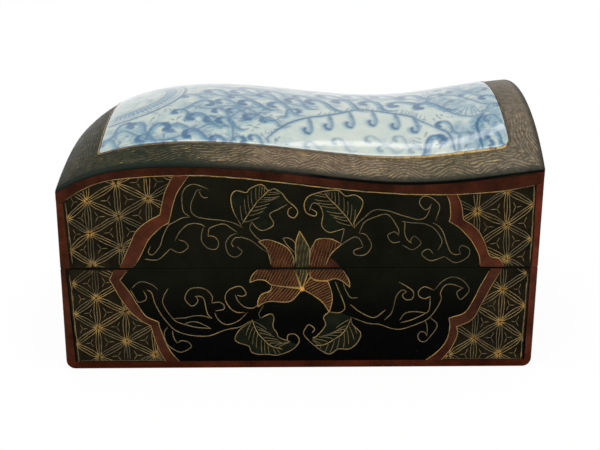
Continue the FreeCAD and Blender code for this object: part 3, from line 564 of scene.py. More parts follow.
# the rim goes round in a quarter circle, and the last ring is the slab's lower edge
rim_rings = [(RIM * (1 - math.sin(turn)), SLAB_PROUD - RIM * (1 - math.cos(turn)))
             for turn in np.radians((22, 45, 67, 90))] + [(0, SLAB_UNDER)]
points, faces = [top], grid_faces(columns, rows)
lap = len(border)
previous, first = border_index, len(top)
for inset, lift in rim_rings:
    points.append(on_lid(*rounded_plan(outer_x, outer_y, inset), lift))
    this = first + np.arange(lap)
    faces += np.stack([np.roll(previous, -1), previous, this, np.roll(this, -1)], -1).tolist()
    previous, first = this, first + lap
skirt = dict(zip(border, previous.tolist()))
print("slab", len(top), "points on top")

# %% The slab's underside, in wide cells
COARSE = 24
cuts_x = [*range(0, columns - 1, COARSE), columns - 1]
cuts_y = [*range(0, rows - 1, COARSE), rows - 1]
inner = {(i, j): first + n for n, (i, j) in enumerate((i, j) for i in cuts_x[1:-1] for j in cuts_y[1:-1])}
under_x, under_y = (np.array([plan[k[axis]] for k in inner]) for axis, plan in ((0, plan_x), (1, plan_y)))
points.append(on_lid(under_x, under_y, SLAB_UNDER))
known = {**skirt, **inner}
for i0, i1 in zip(cuts_x, cuts_x[1:]):
    for j0, j1 in zip(cuts_y, cuts_y[1:]):
        walk = ([(i0, j) for j in range(j0, j1)] + [(i, j1) for i in range(i0, i1)]
                + [(i1, j) for j in range(j1, j0, -1)] + [(i, j0) for i in range(i1, i0, -1)])
        corners = {(i0, j0), (i0, j1), (i1, j0), (i1, j1)}
        faces.append([known[k] for k in walk if k in known and (k in corners or k in skirt)])
slab_points = np.vstack(points)
print("slab faces", len(faces))

# %% Porcelain finish
porcelain, tree, shader = new_finish("porcelain", 0.09, 0.5)
cloud = noise(tree, 22, 3)
fine = noise(tree, 2.2, 3)
along = from_left(tree)
glaze = ramp(tree, cloud, (0.3, (0.445, 0.515, 0.475)), (0.55, (0.485, 0.540, 0.495)),
             (0.75, (0.520, 0.555, 0.520)))
glaze = tinted(tree, glaze, ramp(tree, along, (0.08, (0.80, 0.84, 0.80)), (0.45, (1.0, 1.0, 0.985))))
flow = ramp(tree, noise(tree, 8, 6, 0.7), (0.44, 0.0), (0.62, 0.75))
flow = times(tree, flow, ramp(tree, along, (0.30, 1.0), (0.60, 0.25), (0.80, 0.3), (0.90, 1.0)))
glaze = blend(tree, flow, glaze, (0.25, 0.36, 0.41))
line_share = times(tree, painted(tree, "cobalt_line"), ramp(tree, fine, (0.3, 0.88), (0.6, 1.0)))
wash_share = times(tree, painted(tree, "cobalt_wash"), ramp(tree, fine, (0.3, 0.6), (0.65, 1.0)))
tint = ramp(tree, noise(tree, 14, 2), (0.4, (0.014, 0.096, 0.190)), (0.62, (0.040, 0.108, 0.215)))
colour = blend(tree, wash_share, glaze, (0.092, 0.228, 0.330))
colour = blend(tree, line_share, colour, tint)
coat(tree, shader, colour, noise(tree, 9, 2), 0.12, 0.3)
shader.inputs["Coat Weight"].default_value = 0.3
shader.inputs["Coat Roughness"].default_value = 0.03


def point_weights(layer):
    """A painted layer's values for all the slab's points; its rim takes those of its border."""
    rim_values = np.tile(layer.ravel()[border_index], len(rim_rings))
    spare = len(slab_points) - layer.size - len(rim_values)
    return np.concatenate([layer.ravel(), rim_values, np.zeros(spare)])


make_piece("porcelain_panel", slab_points, faces, porcelain, "lid", ("porcelain_slab",),
           weights={"cobalt_line": point_weights(cobalt_line), "cobalt_wash": point_weights(cobalt_wash)})
print("porcelain in place")

# %% [markdown]
# ## The carved frame round the slab
# Four rails, mitred at the corners, are carved with flowing water: nested waves that run along each
# rail, and fans of curved lines that overlap like scales. Sculpting them by hand would take days, so
# the lines come from a phase, a number that grows by one from line to line. Wherever it passes a whole
# number there is a groove. The outer edge is rolled over in a quarter round.

# %% How far a point is inside the box's outline
CORNER = 1.6


def inside(x, y):
    """Distance in from the outline, and the direction straight out to it."""
    across = np.abs(x) - (HALF_LENGTH - CORNER)
    along = np.abs(y) - (HALF_DEPTH - CORNER)
    beyond = np.hypot(np.maximum(across, 0), np.maximum(along, 0))
    depth = CORNER - beyond - np.minimum(np.maximum(across, along), 0)
    round_part = (across > 0) & (along > 0)
    out_x = np.where(round_part, across / np.maximum(beyond, 1e-9), across > along) * np.sign(x)
    out_y = np.where(round_part, along / np.maximum(beyond, 1e-9), across <= along) * np.sign(y)
    return depth, out_x, out_y


ROLL_HEIGHT = 2.0


def rail_height(x, y):
    """The lid's surface with its outer edge rolled over."""
    depth, out_x, out_y = inside(x, y)
    edge_x, edge_y = x + out_x * depth, y + out_y * depth
    edge = lid_height(edge_x, edge_y)
    slope = lid_height(edge_x - out_x, edge_y - out_y) - edge
    radius = ROLL_HEIGHT / (np.hypot(1, slope) - slope)
    meets = radius * (1 - slope / np.hypot(1, slope))
    roll = edge - ROLL_HEIGHT + np.sqrt(np.maximum(radius ** 2 - (radius - depth) ** 2, 0))
    return np.where(depth < meets, roll, lid_height(x, y))


print("front rail's edge at the middle", float(rail_height(np.array(0.0), np.array(-HALF_DEPTH))))

# %% The water pattern
WATER = np.random.default_rng(11)
LINE_PITCH = 1.6
LAYER_PITCH, LAYER_ROOM = 4.0, 4.5


def water_phase(run, depth, width, length):
    """The pattern's phase at a place: run along the rail, depth in from its outer edge."""
    swing = 2.1 * np.sin(run / 4.3 + 2.0 * np.sin(run / 17)) * (0.75 + 0.35 * np.sin(run / 31 + depth / 6))
    phase = (depth + swing + 0.4 * np.sin(run / 1.9 + depth / 1.7)) / LINE_PITCH
    for layer in reversed(range(1, int(width / LAYER_ROOM))):
        place = -length / 2 - WATER.uniform(0, 30)
        while place < length / 2 + 15:
            reach, tall = WATER.uniform(6, 10), WATER.uniform(4.0, 6.0)
            hill = layer * LAYER_PITCH - 1.0 + tall * np.exp(-((run - place) / reach) ** 2)
            under = (depth < hill) & (np.abs(run - place) < 1.3 * reach) & (depth > hill - tall - 1)
            phase = np.where(under, (hill - depth) / LINE_PITCH + 0.12, phase)
            place += WATER.uniform(2.5, 6.0) * reach
    return phase


def groove_and_ridge(phase):
    """0 to 1 for the cut lines, and for the ridges beside them."""
    past = phase - np.floor(phase)
    groove = np.exp(-((np.minimum(past, 1 - past)) / 0.105) ** 2)
    ridge = np.exp(-((past - 0.34) / 0.16) ** 2)
    return groove, ridge


# %% Rail outlines
LEFT_RAIL, RIGHT_RAIL, FRONT_RAIL = 20.6, 15.4, 12.6
BEAD_WIDTH = 1.2


def frame_side(side, left, right, depth, left_round, right_round, count):
    """Evenly spaced points along one side of a rounded rectangle, from mid-corner to mid-corner."""
    def corner(end, back, start):
        radius = right_round if end > 0 else left_round
        angle = np.radians(np.linspace(start, start + 45, 9))
        return np.stack([(right - radius if end > 0 else left + radius) + radius * np.cos(angle),
                         back * (depth - radius) + radius * np.sin(angle)], -1)

    turns = {"front": ((-1, -1, 225), (1, -1, 270)), "right": ((1, -1, 315), (1, 1, 0)),
             "back": ((1, 1, 45), (-1, 1, 90)), "left": ((-1, 1, 135), (-1, -1, 180))}
    line = np.vstack([corner(*turn) for turn in turns[side]])
    run = run_along(line)
    return points_at(np.linspace(0, run[-1], count), run, line)


# %% One carved rail
RAIL_STEP = 0.45
ROLL_ROWS = (0, 0.05, 0.16, 0.35, 0.6, 0.9, 1.25, 1.65, 2.1, 2.6)
# under the rail: its thickness inside the wall, and the seat that stands on the wall's top
RAIL_THICK, WALL_TOP = 7.0, 7.6
SEAT_DROP, SEAT_EDGE = 2.15, 1.0
TUCK_IN, TUCK_DOWN = 0.25, 0.1
RELIEF, RIDGE_SHARE = 0.15, 0.45
# hands have rubbed the right rail nearly smooth behind this place
RUBBED_FROM, RUBBED_BLUR, RUBBED_LEFT = -54.0, 3.0, 0.15


def carved_rail(side, width):
    """The points, faces and painted values of one rail."""
    lengthways = side in ("front", "back")
    length = 2 * (HALF_LENGTH if lengthways else HALF_DEPTH)
    count = int(length / RAIL_STEP)
    outer = frame_side(side, -HALF_LENGTH, HALF_LENGTH, HALF_DEPTH, CORNER, CORNER, count)
    inner = frame_side(side, LEFT_RAIL - HALF_LENGTH, HALF_LENGTH - RIGHT_RAIL, HALF_DEPTH - FRONT_RAIL,
                       LEFT_ROUND + BEAD_WIDTH, RIGHT_ROUND + BEAD_WIDTH, count)

    def line_at(inset):
        return outer + (inner - outer) * inset / width

    def hidden(inset, drop):
        return on_lid(*line_at(inset).T, -drop)

    flat_rows = np.linspace(ROLL_ROWS[-1], width, int((width - ROLL_ROWS[-1]) / RAIL_STEP))[1:]
    spots = np.stack([line_at(inset) for inset in (*ROLL_ROWS, *flat_rows)])
    x, y = spots[..., 0], spots[..., 1]
    z = rail_height(x, y)
    depth, _, _ = inside(x, y)
    groove, ridge = groove_and_ridge(water_phase(x if lengthways else y, depth, width, length))
    # the carving fades out at the bead and over the rolled edge
    fade = np.clip((width - depth - 0.5) / 0.8, 0, 1) * np.clip((depth - 0.9) / 1.4, 0, 1)
    if side == "right":
        fade *= RUBBED_LEFT + (1 - RUBBED_LEFT) / (1 + np.exp((y - RUBBED_FROM) / RUBBED_BLUR))
    groove, ridge = groove * fade, ridge * fade
    top = np.stack([x, y, z], -1)
    normal = np.cross(np.gradient(top, axis=1), np.gradient(top, axis=0))
    normal /= np.linalg.norm(normal, axis=-1, keepdims=True)
    normal *= np.sign(normal[..., 2:] + 1e-6)
    top += normal * (RELIEF * (RIDGE_SHARE * ridge - groove))[..., None]
    below = [hidden(width, RAIL_THICK), hidden(WALL_TOP, RAIL_THICK), hidden(WALL_TOP, SEAT_DROP),
             hidden(SEAT_EDGE, SEAT_DROP), np.column_stack([line_at(TUCK_IN), z[0] - TUCK_DOWN])]
    grid = np.concatenate([top, np.stack(below)])
    rows = len(grid)
    faces = grid_faces(rows, count)
    last = (rows - 1) * count
    faces += [(last + i, i, i + 1, last + i + 1) for i in range(count - 1)]
    faces += [[row * count for row in reversed(range(rows))],
              [row * count + count - 1 for row in range(rows)]]
    under = np.zeros((len(below), count))
    weights = {"groove": np.vstack([groove, under]), "crest": np.vstack([ridge, under]),
               "depth": np.vstack([depth, under]) / width}
    return grid.reshape(-1, 3), faces, weights


# %% Rail finish
rail_lacquer, tree, shader = new_finish("rail_lacquer", 0.36, 0.03)
along = sum_up(tree, "ADD", from_left(tree), sum_up(tree, "MULTIPLY_ADD", noise(tree, 18, 3), 0.35, -0.17))
body = ramp(tree, along, (0.0, (0.026, 0.027, 0.018)), (0.10, (0.028, 0.031, 0.020)),
            (0.2, (0.023, 0.028, 0.017)), (0.30, (0.052, 0.048, 0.030)), (0.41, (0.140, 0.104, 0.068)),
            (0.62, (0.160, 0.120, 0.082)), (0.82, (0.105, 0.087, 0.053)), (0.93, (0.130, 0.108, 0.078)),
            (1.0, (0.150, 0.124, 0.094)))
mottle = ramp(tree, noise(tree, 3.0, 5, 0.7), (0.35, 0.55), (0.65, 1.2))
body = tinted(tree, body, mottle)
# painted shade: the body darkens to green-black over the rolled outer edge, where it turns down towards the
# wall
low = ramp(tree, painted(tree, "depth"), (0.02, 1.0), (0.12, 0.75), (0.25, 0.0))
body = blend(tree, times(tree, low, 0.8), body, (0.009, 0.015, 0.012))
# painted shadow: a near-black line along the foot of the rolled edge, where the rail overhangs the red band,
# stronger towards the right
painted_shadow_line = ramp(tree, painted(tree, "depth"), (0.012, 1.0), (0.03, 0.0))
painted_shadow_line = times(tree, painted_shadow_line, ramp(tree, along, (0.3, 0.3), (0.6, 1.0)))
body = blend(tree, painted_shadow_line, body, (0.001, 0.001, 0.001))
ridge = times(tree, painted(tree, "crest"), ramp(tree, along, (0.1, 0.2), (0.4, 0.5)))
body = blend(tree, ridge, body, (0.022, 0.018, 0.011))
rubbed = ramp(tree, noise(tree, 5, 5, 0.7), (0.40, 0.12), (0.60, 1.0))
shown = times(tree, rubbed, ramp(tree, along, (0.12, 0.4), (0.40, 0.8), (1.0, 0.7)))
tan = ramp(tree, along, (0.15, (0.20, 0.17, 0.095)), (0.42, (0.46, 0.36, 0.21)))
body = blend(tree, times(tree, painted(tree, "groove"), shown), body, tan)
gold = ramp(tree, noise(tree, 9, 6, 0.7), (0.60, 0.0), (0.66, 0.9))
body = blend(tree, times(tree, painted(tree, "groove"), gold), body, (0.52, 0.34, 0.11))
speck = ramp(tree, noise(tree, 1.6, 4, 0.7), (0.64, 0.0), (0.70, 0.85))
body = blend(tree, speck, body, (0.012, 0.010, 0.007))
satin = ramp(tree, noise(tree, 1.2, 4), (0.3, 0.26), (0.7, 0.46))
coat(tree, shader, body, noise(tree, 0.9, 4), 0.06, 0.5, satin)
for side, width in (("front", FRONT_RAIL), ("back", FRONT_RAIL), ("left", LEFT_RAIL), ("right", RIGHT_RAIL)):
    points, faces, weights = carved_rail(side, width)
    make_piece(f"carved_rail_{side}", points, faces, rail_lacquer, "lid",
               (f"top_rail_{side}",), weights=weights)
    print(f"rail {side}: {len(points)} points")

# %% [markdown]
# ## The gilt bead
# A narrow bead of lacquer putty runs between rails and slab and was gilded. Most of the gold has worn
# off; it shows best along the front right. It is a half-round section swept along the slab's outline.

# %% The slab's outline and the bead along it
BEAD_STEP, BEAD_DEEP = 0.6, 3.0
BEAD_SECTION = ((0.0, -BEAD_DEEP), (0.0, 0.1), (0.15, 0.34), (0.4, 0.5), (0.6, 0.54), (0.8, 0.5),
                (1.05, 0.32), (BEAD_WIDTH, 0.02), (BEAD_WIDTH, -BEAD_DEEP))
WEAR = np.random.default_rng(5)
WEAR_KNOTS = 260


def slab_outline(step):
    """Points along the slab's outline, the directions straight out of it, and how far along they are."""
    spots, outs = [], []
    for end, back, start, radius in ((1, -1, -90, RIGHT_ROUND), (1, 1, 0, RIGHT_ROUND),
                                     (-1, 1, 90, LEFT_ROUND), (-1, -1, 180, LEFT_ROUND)):
        out = directions(np.radians(np.linspace(start, start + 90, 13)))
        centre = (SLAB_RIGHT - radius if end > 0 else SLAB_LEFT + radius, back * (SLAB_SIDE - radius))
        spots.append(centre + radius * out)
        outs.append(out)
    spots, outs = np.vstack(spots + [spots[0][:1]]), np.vstack(outs + [outs[0][:1]])
    run = run_along(spots)
    where = np.union1d(run, np.arange(0, run[-1], step))[:-1]
    outs = points_at(where, run, outs)
    return points_at(where, run, spots), outs / np.linalg.norm(outs, axis=1, keepdims=True), where


spots, outs, where = slab_outline(BEAD_STEP)
wobble = np.interp(where, np.linspace(0, where[-1], WEAR_KNOTS), WEAR.uniform(-1, 1, WEAR_KNOTS))
rings = []
for out, up in BEAD_SECTION:
    aside = out + (0.08 * wobble[:, None] if 0 < out < BEAD_WIDTH else 0)
    rings.append(on_lid(*(spots + outs * aside).T, up + (0.12 * wobble if up > 0 else 0)))
n = len(spots)
rows = len(rings)
faces = [((row + 1) % rows * n + i, (row + 1) % rows * n + (i + 1) % n, row * n + (i + 1) % n, row * n + i)
         for row in range(rows) for i in range(n)]
gilt_bead, tree, shader = new_finish("gilt_bead", 0.38, 0.3, 0.2)
kept = times(tree, painted(tree, "gold"), ramp(tree, noise(tree, 4, 6, 0.75), (0.40, 0.1), (0.52, 1.0)))
brown = ramp(tree, noise(tree, 4, 5, 0.7), (0.35, (0.030, 0.020, 0.010)), (0.65, (0.110, 0.075, 0.036)))
coat(tree, shader, blend(tree, kept, brown, (0.42, 0.27, 0.085)), noise(tree, 1.0, 5), 0.12, 0.7)
# most gold is left along the front right, and a little at the left end
gold = (np.clip((spots[:, 0] - 20) / 50, 0, 1) * np.clip(-1.6 * outs[:, 1] - 0.4, 0, 1)
        + 0.3 * (spots[:, 0] < -107) * (spots[:, 1] < 20))
make_piece("gilt_bead", np.vstack(rings), faces, gilt_bead, "lid", ("slab_bead",),
           weights={"gold": np.tile(gold, rows)})
print("bead length", round(float(where[-1])), "mm")

# %% [markdown]
# ## Lacquer on the boards
# The boards are wood under many coats of lacquer: nearly black with a green cast, and red-brown along
# the edges. The solid boards keep their shape and only get a finish. Which part is red follows from
# the place on the box: the four corner posts as seen from above, and the foot.

# %% Red-brown lacquer and black lacquer
# the heights and places that the shades of lacquer run over, in metres
LACQUER_HEIGHT, LACQUER_REACH = 0.12, 0.14
EDGE_BAND, POST_EDGE = 4.6, 125.9
POST_LEAN, POST_EXTRA = 0.045, 1.5


def beyond(tree, value, limit, blur=0.25):
    """0 where a length is under a limit in millimetres, 1 where it is over, with a soft step."""
    return ramp(tree, sum_up(tree, "MULTIPLY_ADD", value, 1 / (blur * MM), 0.5 - limit / blur), (0, 0.0),
                (1, 1.0))


def red_lacquer(tree):
    """Cloudy red-brown, darker low on the box, with rubbed places and dark specks."""
    x, _, z = axes(tree)
    cloud = ramp(tree, noise(tree, 16, 5, 0.65), (0.32, (0.028, 0.007, 0.003)), (0.5, (0.052, 0.014, 0.006)),
                 (0.72, (0.098, 0.025, 0.011)))
    low = ramp(tree, times(tree, z, 1 / LACQUER_HEIGHT), (0.0, (0.72, 0.42, 0.28)),
               (0.12, (0.80, 0.88, 0.90)), (0.48, (0.85, 0.95, 1.0)), (0.54, (1.0, 1.0, 1.0)),
               (1, (1.0, 0.9, 0.85)))
    east = ramp(tree, times(tree, x, 1 / LACQUER_REACH), (0.0, (1.0, 1.0, 1.0)), (0.8, (1.0, 1.0, 1.0)),
                (0.9, (1.5, 1.25, 1.45)))
    low = tinted(tree, low, east)
    colour = tinted(tree, cloud, low)
    speck = ramp(tree, noise(tree, 1.3, 3, 0.7), (0.60, 0.0), (0.70, 0.7))
    return blend(tree, speck, colour, (0.028, 0.012, 0.008))


def box_lacquer(name, seat):
    """Black lacquer with red posts and foot. On the left the posts widen a little towards their seat."""
    material, tree, shader = new_finish(name, 0.32, 0.015)
    x, y, z = axes(tree)
    ragged = sum_up(tree, "MULTIPLY_ADD", noise(tree, 2.5, 2), 0.5 * MM, -0.25 * MM)
    lean = sum_up(tree, "MULTIPLY_ADD", z, -POST_LEAN, (POST_EXTRA + POST_LEAN * seat) * MM)
    lean = times(tree, lean, sum_up(tree, "LESS_THAN", x, 0.0))
    reach = sum_up(tree, "ADD", sum_up(tree, "ABSOLUTE", x), sum_up(tree, "ADD", lean, ragged))
    corner = beyond(tree, sum_up(tree, "ABSOLUTE", y), HALF_DEPTH - EDGE_BAND)
    post = times(tree, beyond(tree, reach, POST_EDGE), corner)
    foot = beyond(tree, sum_up(tree, "MULTIPLY_ADD", z, -1.0, ragged), -EDGE_BAND)
    ground = ramp(tree, times(tree, z, 1 / LACQUER_HEIGHT), (0.02, (0.0002, 0.0003, 0.0003)),
                  (0.25, (0.0008, 0.0010, 0.0007)), (0.45, (0.0045, 0.0046, 0.0027)),
                  (0.9, (0.0068, 0.0066, 0.0036)))
    smoke = ramp(tree, noise(tree, 24, 4, 0.6), (0.3, 0.65), (0.7, 1.35))
    ground = tinted(tree, ground, smoke)
    fleck = ramp(tree, noise(tree, 0.8, 2, 0.5), (0.70, 0.0), (0.76, 0.5))
    ground = blend(tree, fleck, ground, (0.030, 0.028, 0.018))
    colour = blend(tree, sum_up(tree, "MAXIMUM", post, foot), ground, red_lacquer(tree))
    satin = ramp(tree, noise(tree, 5, 4), (0.3, 0.26), (0.7, 0.44))
    coat(tree, shader, colour, noise(tree, 3.2, 5, 0.6), 0.10, 0.5, satin)
    return material


def dress(material, *starts):
    """Gives a finish to the solid pieces whose names start so."""
    named = [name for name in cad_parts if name.startswith(starts)]
    for name in named:
        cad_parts[name].data.materials[0] = material
    print(material.name, "on", len(named), "pieces")


dress(box_lacquer("base_lacquer", 0), "base_")
dress(box_lacquer("lid_lacquer", SEAM), "lid_")

# %% [markdown]
# ## Drawing on the walls
# The pattern on the walls is engraved and gilt: a needle cuts a fine line, and gold is rubbed into it.
# Flat areas of coloured lacquer lie under the lines. A Wall collects both kinds of shape in its own
# flat coordinates, along and up, and then turns them into pieces. So one drawing serves front and back.
#
# A line is a closed tube with three sides and pointed ends. A patch is a thin slab with upright edges.

# %% Finishes for the drawing
def drawn_finish(name, deep, light, grain):
    """A flat coloured lacquer that wavers between two colours."""
    material, tree, shader = new_finish(name, 0.36, 0.03)
    colour = ramp(tree, noise(tree, grain, 5, 0.65), (0.34, deep), (0.66, light))
    coat(tree, shader, colour, noise(tree, 1.6, 4), 0.05, 0.5)
    return material


red_band, tree, shader = new_finish("red_band", 0.36, 0.04)
coat(tree, shader, red_lacquer(tree), noise(tree, 1.6, 4), 0.08, 0.6)

incised_gilt, tree, shader = new_finish("incised_gilt", 0.45, 0.12, 0.1)
worn = ramp(tree, noise(tree, 5, 5, 0.7), (0.36, (0.050, 0.038, 0.017)), (0.5, (0.165, 0.120, 0.050)),
            (0.66, (0.30, 0.205, 0.075)))
dim = ramp(tree, noise(tree, 16, 4, 0.6), (0.38, (0.022, 0.021, 0.013)), (0.62, (0.095, 0.082, 0.045)))
worn = blend(tree, ramp(tree, painted(tree, "gold"), (0.0, 0.8), (0.14, 0.0)), worn, dim)
bright = times(tree, painted(tree, "gold"), ramp(tree, noise(tree, 9, 3), (0.35, 0.15), (0.6, 1.0)))
coat(tree, shader, blend(tree, bright, worn, (0.62, 0.33, 0.07)), noise(tree, 0.6, 3), 0.05, 0.6)

DRAWN = {"gilding": (incised_gilt, "gilt"), "red": (red_band, "black_lacquer")}
# the top band's finish is a darker copy of the red lacquer: painted shade under the rail
for kind, deep, light, grain in (("leaf", (0.0025, 0.0035, 0.0015), (0.008, 0.010, 0.0045), 9),
                                 ("petal", (0.018, 0.005, 0.002), (0.062, 0.0165, 0.005), 7),
                                 ("olive", (0.010, 0.010, 0.004), (0.036, 0.033, 0.013), 5),
                                 ("umber", (0.004, 0.0035, 0.0015), (0.013, 0.0095, 0.004), 11),
                                 ("red_in_painted_shade", (0.015, 0.004, 0.0015), (0.050, 0.013, 0.006), 15)):
    DRAWN[kind] = drawn_finish(f"{kind}_lacquer", deep, light, grain), "black_lacquer"
print("finishes to draw with:", *DRAWN)

# %% Small steps for drawing
HAND = np.random.default_rng(21)
SEAM_GAP = 0.6


def runs(line, keep):
    """The stretches of a line whose points are kept."""
    ends = np.flatnonzero(np.diff(np.concatenate([[0], keep.astype(int), [0]])))
    return [line[a:b] for a, b in zip(ends[::2], ends[1::2]) if b - a > 2]


def within(outline, spots):
    """Whether each spot is inside an outline."""
    x, y = np.asarray(spots, float).T
    answer = np.zeros(len(x), bool)
    for (ax, ay), (bx, by) in zip(outline, np.roll(outline, -1, axis=0)):
        if ay != by:
            answer ^= ((ay > y) != (by > y)) & (x < ax + (y - ay) * (bx - ax) / (by - ay))
    return answer


def unsteady(line, amount=0.18):
    """The same line as a hand would cut it."""
    run = run_along(line)[:, None]
    return line + amount / 2 * sum(np.sin(run / reach + HAND.uniform(0, 6.3, 2)) for reach in (1.6, 3.9))


def bends(*stretches):
    """A smooth line with a sharp corner wherever one stretch ends and the next starts."""
    return np.vstack([through(stretch, 5) for stretch in stretches])


# %% A wall to draw on
LID_TOP, BASE_FOOT = 200, 0.3
LINE_ROOT, PATCH_ROOT = -0.03, -0.05


class Wall:
    """One side of the lid or the base, and the shapes that are drawn on it, kept by finish.

    scale draws everything smaller, measured from the middle of the seam."""

    def __init__(self, side, body):
        self.side, self.body, self.scale, self.drawn = side, body, 1.0, {}
        self.low, self.high = (SEAM + SEAM_GAP, LID_TOP) if body == "lid" else (BASE_FOOT, SEAM - SEAM_GAP)

    def scaled(self, outline):
        """The same outline at the wall's scale."""
        return (np.asarray(outline, float) - (0, SEAM)) * self.scale + (0, SEAM)

    def spots(self, along, up, out):
        """Points in space, out millimetres in front of the wall."""
        ahead = 1 if self.side in ("back", "right") else -1
        if self.side in ("front", "back"):
            return np.stack([along, ahead * (HALF_DEPTH + out) + 0 * along, up], -1)
        return np.stack([ahead * (HALF_LENGTH + out) + 0 * along, along, up], -1)

    def add(self, finish, points, faces, gold):
        """Keeps a shape with the others of its finish. On two of the four sides its faces turn over."""
        points_so_far, faces_so_far, gold_so_far = self.drawn.setdefault(finish, ([], [], []))
        first = sum(len(p) for p in points_so_far)
        mirrored = self.side in ("back", "left")
        points_so_far.append(points)
        faces_so_far.extend([[first + k for k in (face[::-1] if mirrored else face)] for face in faces])
        gold_so_far.append(gold)

    def line(self, line, width=0.62, gold=0.1, ridge=0.15, keep=None):
        """An engraved line, thin at its ends."""
        line = np.column_stack([self.scaled(line), np.broadcast_to(gold, len(line))])
        shown = (line[:, 1] > self.low) & (line[:, 1] < self.high) & (True if keep is None else keep)
        for part in runs(line, shown):
            ahead = np.gradient(part[:, :2], axis=0)
            ahead /= np.maximum(np.hypot(*ahead.T), 1e-9)[:, None]
            swell = np.minimum(1, 0.45 + 2.5 * np.sin(np.pi * np.linspace(0, 1, len(part))))[:, None]
            half = np.stack([-ahead[:, 1], ahead[:, 0]], -1) * swell * width / 2
            left, middle, right = part[:, :2] + half, part[:, :2], part[:, :2] - half
            section = [self.spots(*left.T, LINE_ROOT), self.spots(*middle.T, ridge),
                       self.spots(*right.T, LINE_ROOT)]
            last = 3 * (len(part) - 1)
            faces = [(a, b, b + 3, a + 3) for i in range(0, last, 3)
                     for a, b in ((i, i + 1), (i + 1, i + 2), (i + 2, i))]
            faces += [(1, 0, 2), (last, last + 1, last + 2)]
            self.add("gilding", np.stack(section, 1).reshape(-1, 3), faces, np.repeat(part[:, 2], 3))

    def patch(self, finish, outline, proud=0.03):
        """A flat area of coloured lacquer."""
        outline = self.scaled(outline)
        outline[:, 1] = np.clip(outline[:, 1], self.low, self.high)
        outline = outline[np.hypot(*(outline - np.roll(outline, 1, axis=0)).T) > 0.05]
        x, y = outline.T
        if np.sum(x * np.roll(y, -1) - y * np.roll(x, -1)) < 0:
            outline = outline[::-1]
        n = len(outline)
        faces = []
        for a, b, c in tessellate_polygon([[Vector((*spot, 0)) for spot in outline]]):
            (ax, ay), (bx, by), (cx, cy) = outline[a], outline[b], outline[c]
            turned = (bx - ax) * (cy - ay) - (by - ay) * (cx - ax) < 0
            a, b = (b, a) if turned else (a, b)
            faces += [(a, b, c), (n + c, n + b, n + a)]
        faces += [((i + 1) % n, i, n + i, n + (i + 1) % n) for i in range(n)]
        points = np.vstack([self.spots(*outline.T, proud), self.spots(*outline.T, PATCH_ROOT)])
        self.add(finish, points, faces, np.zeros(2 * n))

    def place(self):
        """Turns everything drawn here into pieces."""
        for finish, (points, faces, gold) in self.drawn.items():
            material, slot = DRAWN[finish]
            make_piece(f"{self.side}_{self.body}_{finish}", np.vstack(points), faces, material, self.body,
                       smooth=False, weights={"gold": np.concatenate(gold)})
        print(self.side, self.body, {finish: len(parts[1]) for finish, parts in self.drawn.items()}, "faces")


# %% [markdown]
# ### Hemp-leaf lattice
# Asanoha, the hemp-leaf pattern, is a net of triangles. Three lines run along every side and meet in
# the stars, and a small Y sits in the middle of each triangle. Two steps, up and over, fix the net.
# Where the net would run past the frame, its stars are moved onto the frame, as a craftsman does.

# %% Lattice
LATTICE_BOW = 1.5


def lattice(wall, region, origin, up, over, left, right):
    """The net inside a region: origin is one star, and left and right are the frame."""
    origin, up, over = (np.array(v, float) for v in (origin, up, over))
    low, high = region.min(axis=0) - 3, region.max(axis=0) + 3
    t = np.linspace(0.03, 0.97, 15)[:, None]
    arm_steps = np.linspace(0, 0.33, 4)[:, None]

    def star(i, j):
        spot = origin + i * over + j * up
        return np.array([np.clip(spot[0], left, right), spot[1]])

    for i, j in ((i, j) for i in range(-3, 4) for j in range(-6, 7)):
        start = star(i, j)
        for end in (star(i, j + 1), star(i + 1, j), star(i + 1, j - 1)):
            span = end - start
            length = np.hypot(*span)
            on_frame = start[0] == end[0] and start[0] in (left, right)
            if on_frame or (np.maximum(start, end) < low).any() or (np.minimum(start, end) > high).any():
                continue
            aside = np.array([-span[1], span[0]]) / length
            near_star = np.exp(-(np.minimum(t, 1 - t)[:, 0] * length / 1.6) ** 2)
            gold = 0.75 * near_star + HAND.uniform(-0.02, 0.14)
            for bow in (-LATTICE_BOW, 0, LATTICE_BOW):
                line = unsteady(start + span * t + aside * bow * (1 - np.abs(2 * t - 1) ** 3), 0.22)
                wall.line(line, 0.52, gold, keep=within(region, line))
        beside, above_it = star(i + 1, j), star(i, j + 1)
        for corners in ((start, beside, above_it), (beside, above_it, star(i + 1, j + 1))):
            middle = np.mean(corners, axis=0)
            arms = [unsteady(middle + (corner - middle) * arm_steps, 0.2) for corner in corners]
            if within(region, np.vstack(arms)).all():
                for arm in arms:
                    wall.line(arm, 0.5, 0.05)


# %% Petals and leaves
def hatched(wall, finish, outline, angle, pitch=1.6, gold=0.25):
    """A petal: an area with an outline and fine cuts across it."""
    wall.patch(finish, outline)
    wall.line(np.vstack([outline, outline[:1]]), 0.66, gold)
    ahead = np.array([math.cos(math.radians(angle)), math.sin(math.radians(angle))])
    aside = np.array([-ahead[1], ahead[0]])
    reach, offsets = outline @ ahead, outline @ aside
    t = np.linspace(reach.min(), reach.max(), 30)[:, None]
    for offset in np.arange(offsets.min() + pitch / 2, offsets.max(), pitch):
        bow = 0.9 * np.cos((t - reach.min()) / max(np.ptp(reach), 1) * math.pi)
        cut = unsteady(t * ahead + (offset + bow) * aside, 0.2)
        wall.line(cut, 0.38, 0.2 * gold, keep=within(outline, cut))


VEIN_STEPS = 12


